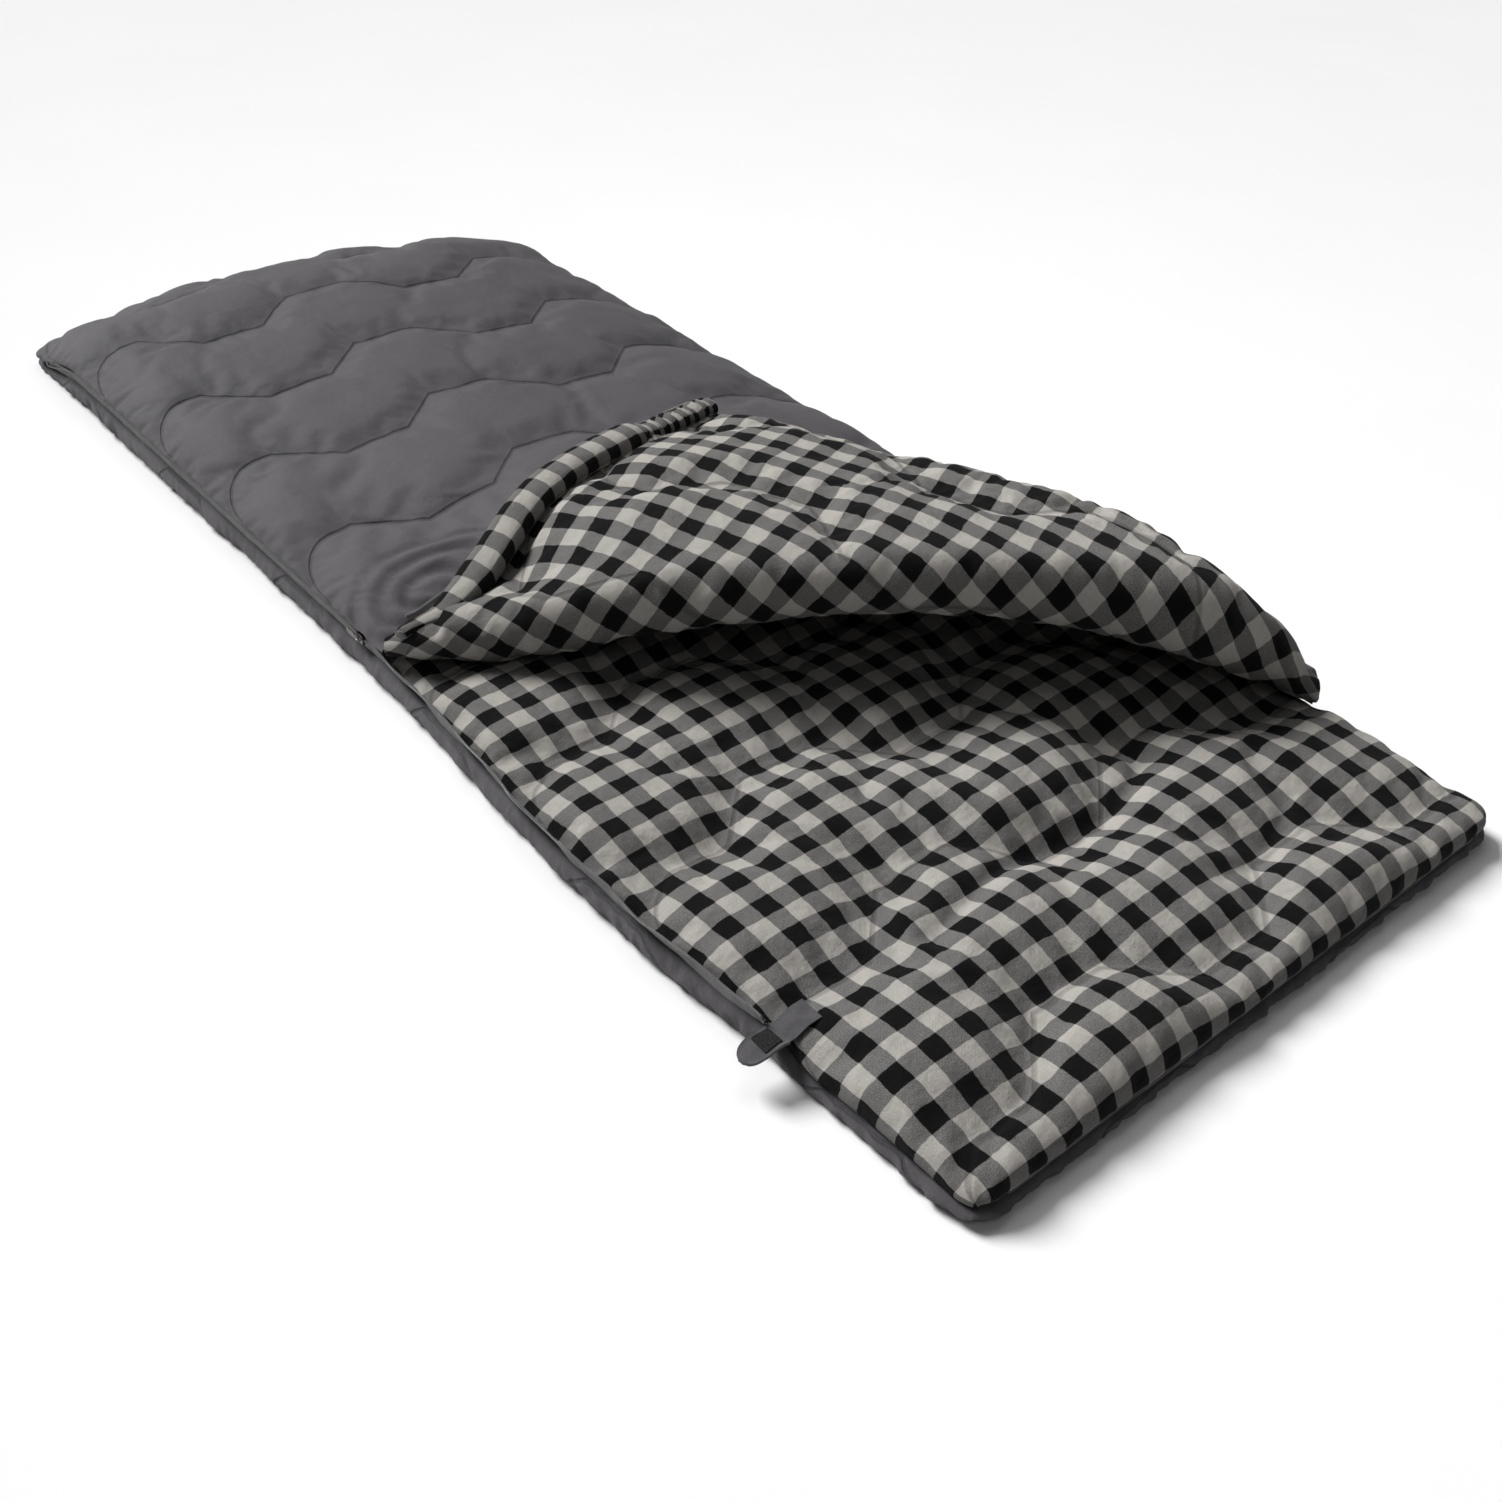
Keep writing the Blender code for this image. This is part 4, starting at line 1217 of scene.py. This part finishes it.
flap_shell, share = lay_cloth("flap_shell_quilt", 110, 64, flap_shell_place)
dress(flap_shell, SHELL)
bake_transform(flap_shell)
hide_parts("flap_outer_shell")


# Draught tube

# How far the tube runs past the zip edge, its gathered and rounded ends, and its cloth's width.
TUBE_BEYOND = 0.008
TUBE_GATHER = 0.21
TUBE_END = 0.016
TUBE_AROUND = 0.150


def tube_place(k, row):
    """A padded tube of lining along the flap's zip edge, gathered on its elastic towards the free end."""
    length = ZIP_EDGE_LENGTH + TUBE_BEYOND
    at = row * length
    b = np.clip(at / ZIP_EDGE_LENGTH, 0, 1)
    gather = ease((at - (length - TUBE_GATHER)) / 0.05)
    to_end = np.clip((at - (length - TUBE_END)) / TUBE_END, 0, 1)
    closing = np.sqrt(np.clip(1 - to_end**2, 0.02, 1))
    starting = 0.35 + 0.65 * ease(at / 0.13)
    turn = 2 * np.pi * k
    fold = np.sin(2 * np.pi * (at / 0.0125) + 1.7 * np.sin(at * 130) + 0.8 * np.sin(turn))
    wide = mix(0.0265, 0.0185, gather) * (1 + 0.09 * gather * fold) * closing * starting
    high = mix(0.0175, 0.0135, gather) * (1 + 0.13 * gather * fold) * closing * starting
    inward = mix(0.028, 0.033, gather) + zip_edge_bow(at)
    middle = zip_edge_point(at) + ZIP_EDGE_IN * inward[:, None]
    level = flap_base(np.full_like(b, 0.03), b) + 0.009
    aside = np.sign(np.cos(turn)) * np.abs(np.cos(turn)) ** 0.85
    plan = middle + ZIP_EDGE_IN * (wide * aside)[:, None]
    made = np.stack([*plan.T, level + high * (1 + np.sin(turn))], axis=1)
    made[:, 2] += 0.0012 * cloud(made, 0.022, 31, 2)
    cloth = at + np.clip(at - (length - TUBE_GATHER), 0, None)
    return made, np.stack([cloth, k * TUBE_AROUND + 0.006], axis=1)


draught_tube = ring_body("draught_tube_quilt", 36, 330, tube_place)
dress(draught_tube, TUBE_LINING)
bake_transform(draught_tube)
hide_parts("draught_tube_cover", "draught_tube_filling")


# Zip


TAPE_THICKNESS = 0.0011
COIL_PITCH, COIL_WIDTH, COIL_HEIGHT = 0.0026, 0.0040, 0.0022


def waves(y, size, seed):
    return size * cloud(on_floor(y, np.zeros_like(y)), 0.085, seed, 2)


def zip_half(name, path, across, width, coil_path):
    """One side of a zip: its woven tape, and its coil along the tape's edge."""
    tape = strip(name + "_tape_band", path, across, width, TAPE_THICKNESS)
    dress(tape, TAPE)
    teeth = coil_teeth(
        name + "_coil_teeth", coil_path, across, COIL_PITCH, COIL_WIDTH, COIL_HEIGHT
    )
    dress(teeth, COIL)
    return tape, teeth


def zip_run(name, y, x, z, lean, width, low_coil, replaced_tape, replaced_coil):
    path = np.stack([x, y, z], axis=1)
    across = np.stack([lean, np.zeros_like(y), np.ones_like(y)], axis=1)
    side = -1 if low_coil else 1
    rise = unit(across) * side * (width / 2 - 0.0012)
    tape, teeth = zip_half(name, path, across, width, path + rise + (0.0014, 0, 0))
    for piece, node in ((tape, replaced_tape), (teeth, replaced_coil)):
        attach(piece, "bag")
        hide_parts(node)


y = np.linspace(ZIP_FOOT_Y, ZIP_END_Y, 620)
opened = ease((y - 0.03) / 0.10)
x = edge_x(y) + mix(-0.0022, -0.0008, opened) + opened * waves(y, 0.0030, 41)
z = 0.0430 + opened * (0.0040 + waves(y, 0.0035, 42)) - SEAM_DROP * foot_pinch(x, y)
lean = 0.10 + opened * (0.25 + waves(y, 0.5, 43))
zip_run("bottom_zip", y, x, z, lean, 0.023, False, "bottom_zip_tape", "bottom_zip_coil")

y = np.linspace(ZIP_FOOT_Y, 0.024, 340)
x = np.full_like(y, HALF_WIDTH - 0.0022)
z = 0.0617 - ZIP_DROP * foot_pinch(x, y)
zip_run("top_zip", y, x, z, np.full_like(y, -0.08), 0.0135, True, "top_zip_tape", "top_zip_coil")


def flap_zip():
    """The open zip half that runs along the flap's edge, standing up from it."""
    at = np.linspace(0.034, ZIP_EDGE_LENGTH, 210)
    b = at / ZIP_EDGE_LENGTH
    inward = zip_edge_bow(at) - 0.004 - waves(at, 0.002, 45)
    low = zip_edge_point(at) + ZIP_EDGE_IN * inward[:, None]
    z = flap_base(np.zeros_like(b), b) + 0.0085 + waves(at, 0.0015, 44)
    path = np.stack([*low.T, z], axis=1)
    across = unit(np.tile((*-ZIP_EDGE_IN, 0.9), (len(at), 1)))
    coil_path = path + across * 0.0058 + (0, 0, 0.0012)
    tape, teeth = zip_half("flap_zip", path, across, 0.014, coil_path)
    for piece, node in ((tape, "flap_zip_tape"), (teeth, "flap_zip_coil")):
        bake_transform(piece)
        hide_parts(node)


flap_zip()

# The stop that clamps both tapes at the foot corner, where they are drawn down.
STOP_SIZE = (0.0045, 0.0060, 0.0120)
clear_selection()
bpy.ops.mesh.primitive_cube_add(size=1)
stop = new_piece("zip_foot_clamp")
edit_mesh(bpy.ops.mesh.bevel, offset=0.18, segments=2, affect="EDGES")
at_stop = np.array((HALF_WIDTH - 0.001, ZIP_FOOT_Y + 0.003))
stop_z = 0.0528 - (SEAM_DROP + ZIP_DROP) / 2 * foot_pinch(*at_stop)
move_points(stop, points_of(stop) * STOP_SIZE + (*at_stop, stop_z))
smooth_shading(stop, 0.6)
dress(stop, ZINC)
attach(stop, "bag")
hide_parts("zip_bottom_stop")

for node in (
    "zip_slider_body",
    "zip_slider_bail",
    "zip_pull",
    "bottom_zip_top_stop",
    "flap_zip_top_stop",
):
    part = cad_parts[node]
    part.data.materials.clear()
    part.data.materials.append(ZINC)


# Seams and hems


def seam_binding(name, line, width, node, body):
    """A ribbed binding that stands upright along a seam."""
    band = strip(name, line, np.tile((0.0, 0.0, 1.0), (len(line), 1)), width, 0.0022)
    dress(band, BINDING)
    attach(band, body)
    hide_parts(node)


y = np.linspace(-1.055, 0.85, 480)
x = np.full_like(y, -HALF_WIDTH - 0.0006)
z = 0.0455 + waves(y, 0.0012, 51) - SEAM_DROP * foot_pinch(x, y)
line = np.stack([x, y, z], axis=1)
seam_binding("side_seam_piping", line, 0.0085, "side_seam_binding", "bag")

x = np.linspace(-0.400, 0.400, 240)
y = np.full_like(x, FOOT_Y + 0.0005)
z = 0.0435 + waves(x, 0.0012, 52) - SEAM_DROP * foot_pinch(x, y)
line = np.stack([x, y, z], axis=1)
seam_binding("foot_seam_piping", line, 0.0085, "foot_seam_binding", "bag")

y = np.full_like(x, HEAD_Y + 0.0105)
line = np.stack([x, y, 0.0215 + waves(x, 0.0012, 53)], axis=1)
seam_binding("head_hem_piping", line, 0.0060, "head_hem_binding", "bag")

a = np.linspace(0.05, 0.95, 240)
hem = flap_plan(a, np.ones_like(a))
line = np.stack([*hem.T, flap_base(a, np.ones_like(a)) + 0.0110], axis=1)
seam_binding("flap_hem_piping", line, 0.0070, "flap_hem_binding", "flap")


# Closure tab


def tab_piece(name, length, width, thickness, place):
    """A flat strap with a rounded end, subdivided so that it can bend."""
    clear_selection()
    bpy.ops.mesh.primitive_cube_add(size=1)
    piece = new_piece(name)
    piece.scale = (length, width, thickness)
    bpy.ops.object.transform_apply(scale=True)
    edit_mesh(bpy.ops.mesh.subdivide, number_cuts=14)
    points = points_of(piece)
    share = points / np.array((length, width, thickness))
    made = place(share[:, 0] + 0.5, share[:, 1] * 2, share[:, 2] * 2)
    move_points(piece, made)
    write_map(piece, np.stack([points[:, 0], points[:, 1]], axis=1))
    face_outwards(piece)
    smooth_shading(piece, 0.8)
    return piece


TAB_LOW, TAB_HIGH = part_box("closure_tab_strap")
BASE_LOW, BASE_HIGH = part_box("closure_tab_base")
HOOK_LOW, HOOK_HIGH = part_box("closure_tab_hooks")


def strap_line(share):
    """Height along the loose strap, which droops a little."""
    return -0.007 * np.clip(share, 0, 1) ** 1.6 + 0.002 * np.sin(share * np.pi)


def strap_place(along, aside, through):
    """The loose strap: rounded at its end, thick at its stitched rim, and a little twisted."""
    length = TAB_HIGH.x - TAB_LOW.x + 0.004
    to_tip = np.clip((along - 0.68) / 0.32, 0, 1)
    rounded = np.sqrt(np.clip(1 - to_tip**2.6, 0.03, 1))
    half = (TAB_HIGH.y - TAB_LOW.y) / 2 * (1.08 - 0.10 * along) * rounded
    rim = 1 + 0.55 * np.exp(-(((1 - np.abs(aside)) / 0.10) ** 2))
    x = TAB_LOW.x - 0.002 + length * along
    y = (TAB_LOW.y + TAB_HIGH.y) / 2 + half * aside
    twist = 0.0012 * np.sin(along * 9) * aside
    z = TAB_LOW.z + 0.0006 + strap_line(along) + 0.0013 * through * rim + twist
    return np.stack([x, y, z], axis=1)


def base_place(along, aside, through):
    """The strap's sewn end, lying on the bottom panel."""
    x = mix(BASE_LOW.x - 0.004, BASE_HIGH.x + 0.003, along)
    y = (BASE_LOW.y + BASE_HIGH.y) / 2 + (BASE_HIGH.y - BASE_LOW.y) / 2 * aside
    z = BASE_LOW.z + 0.0008 + 0.0075 * ease((0.80 - along) / 0.5) + 0.0010 * through
    return np.stack([x, y, z], axis=1)


def hooks_place(along, aside, through):
    """The hook patch, lying along the strap's face."""
    x = mix(HOOK_LOW.x, HOOK_HIGH.x, along)
    share = (x - TAB_LOW.x + 0.002) / (TAB_HIGH.x - TAB_LOW.x + 0.004)
    y = (HOOK_LOW.y + HOOK_HIGH.y) / 2 + (HOOK_HIGH.y - HOOK_LOW.y) / 2 * aside
    twist = 0.0012 * np.sin(share * 9) * aside * 0.73
    z = TAB_LOW.z + 0.0006 + strap_line(share) + twist + 0.0019 + 0.0008 * through
    return np.stack([x, y, z], axis=1)


strap = tab_piece("closure_tab_webbing", 0.05, 0.03, 0.003, strap_place)
dress(strap, WEBBING)
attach(strap, "closure_tab")
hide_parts("closure_tab_strap")
patch = tab_piece("closure_tab_hook_patch", 0.022, 0.022, 0.002, hooks_place)
dress(patch, HOOKS)
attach(patch, "closure_tab")
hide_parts("closure_tab_hooks")
base = tab_piece("closure_tab_sewn_end", 0.04, 0.03, 0.002, base_place)
dress(base, WEBBING)
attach(base, "bag")
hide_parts("closure_tab_base")


# Floor, light and camera

clear_selection()
bpy.ops.mesh.primitive_plane_add(size=30, location=(0, 0, 0))
floor = bpy.context.object
floor.name = "studio_floor"
paper, n, surface = new_material("pale_paper", 0.9, specular=0.1)
place = own_place(n)
pale = n.blend(n.noise(place, 3.0), (0.93, 0.93, 0.93, 1), (0.96, 0.96, 0.96, 1))
n.put(surface.inputs["Base Color"], pale)
floor.data.materials.append(paper)

world = bpy.data.worlds.new("studio")
world.use_nodes = True
background = world.node_tree.nodes["Background"].inputs
background["Color"].default_value = (1, 1, 1, 1)
background["Strength"].default_value = 0.085
bpy.context.scene.world = world


def softbox(name, at, towards, size, power):
    light = bpy.data.lights.new(name, "AREA")
    light.shape = "RECTANGLE"
    light.size, light.size_y = size
    light.energy = power
    lamp = bpy.data.objects.new(name, light)
    bpy.context.scene.collection.objects.link(lamp)
    lamp.location = at
    lamp.rotation_euler = (Vector(towards) - Vector(at)).to_track_quat("-Z", "Y").to_euler()


sun = bpy.data.objects.new("window", bpy.data.lights.new("window", "SUN"))
sun.data.energy = 3.9
sun.data.angle = 0.42
sun.rotation_euler = Vector((-0.40, 1.45, -1.40)).to_track_quat("-Z", "Y").to_euler()
bpy.context.scene.collection.objects.link(sun)
softbox("overhead", (-0.2, -0.1, 2.7), (0, 0.3, 0), (1.6, 1.6), 13)
softbox("head_end", (1.5, 2.4, 3.2), (0, 0.4, 0), (1.4, 1.0), 4)

eye = Vector((1.1985, 1.6164, 1.2567))
right = Vector((-0.7651, 0.64266, 0.04007))
up = Vector((-0.37901, -0.49977, 0.77883))
back = Vector((0.52055, 0.58070, 0.62595))
camera = bpy.data.objects.new("camera", bpy.data.cameras.new("camera"))
bpy.context.scene.collection.objects.link(camera)
camera.data.lens = 38.68
camera.data.sensor_width = 36
camera.data.clip_start = 0.01
camera.matrix_world = Matrix(
    [(*[v[i] for v in (right, up, back)], eye[i]) for i in range(3)] + [(0, 0, 0, 1)]
)
bpy.context.scene.camera = camera
bpy.context.scene.view_settings.view_transform = "Standard"
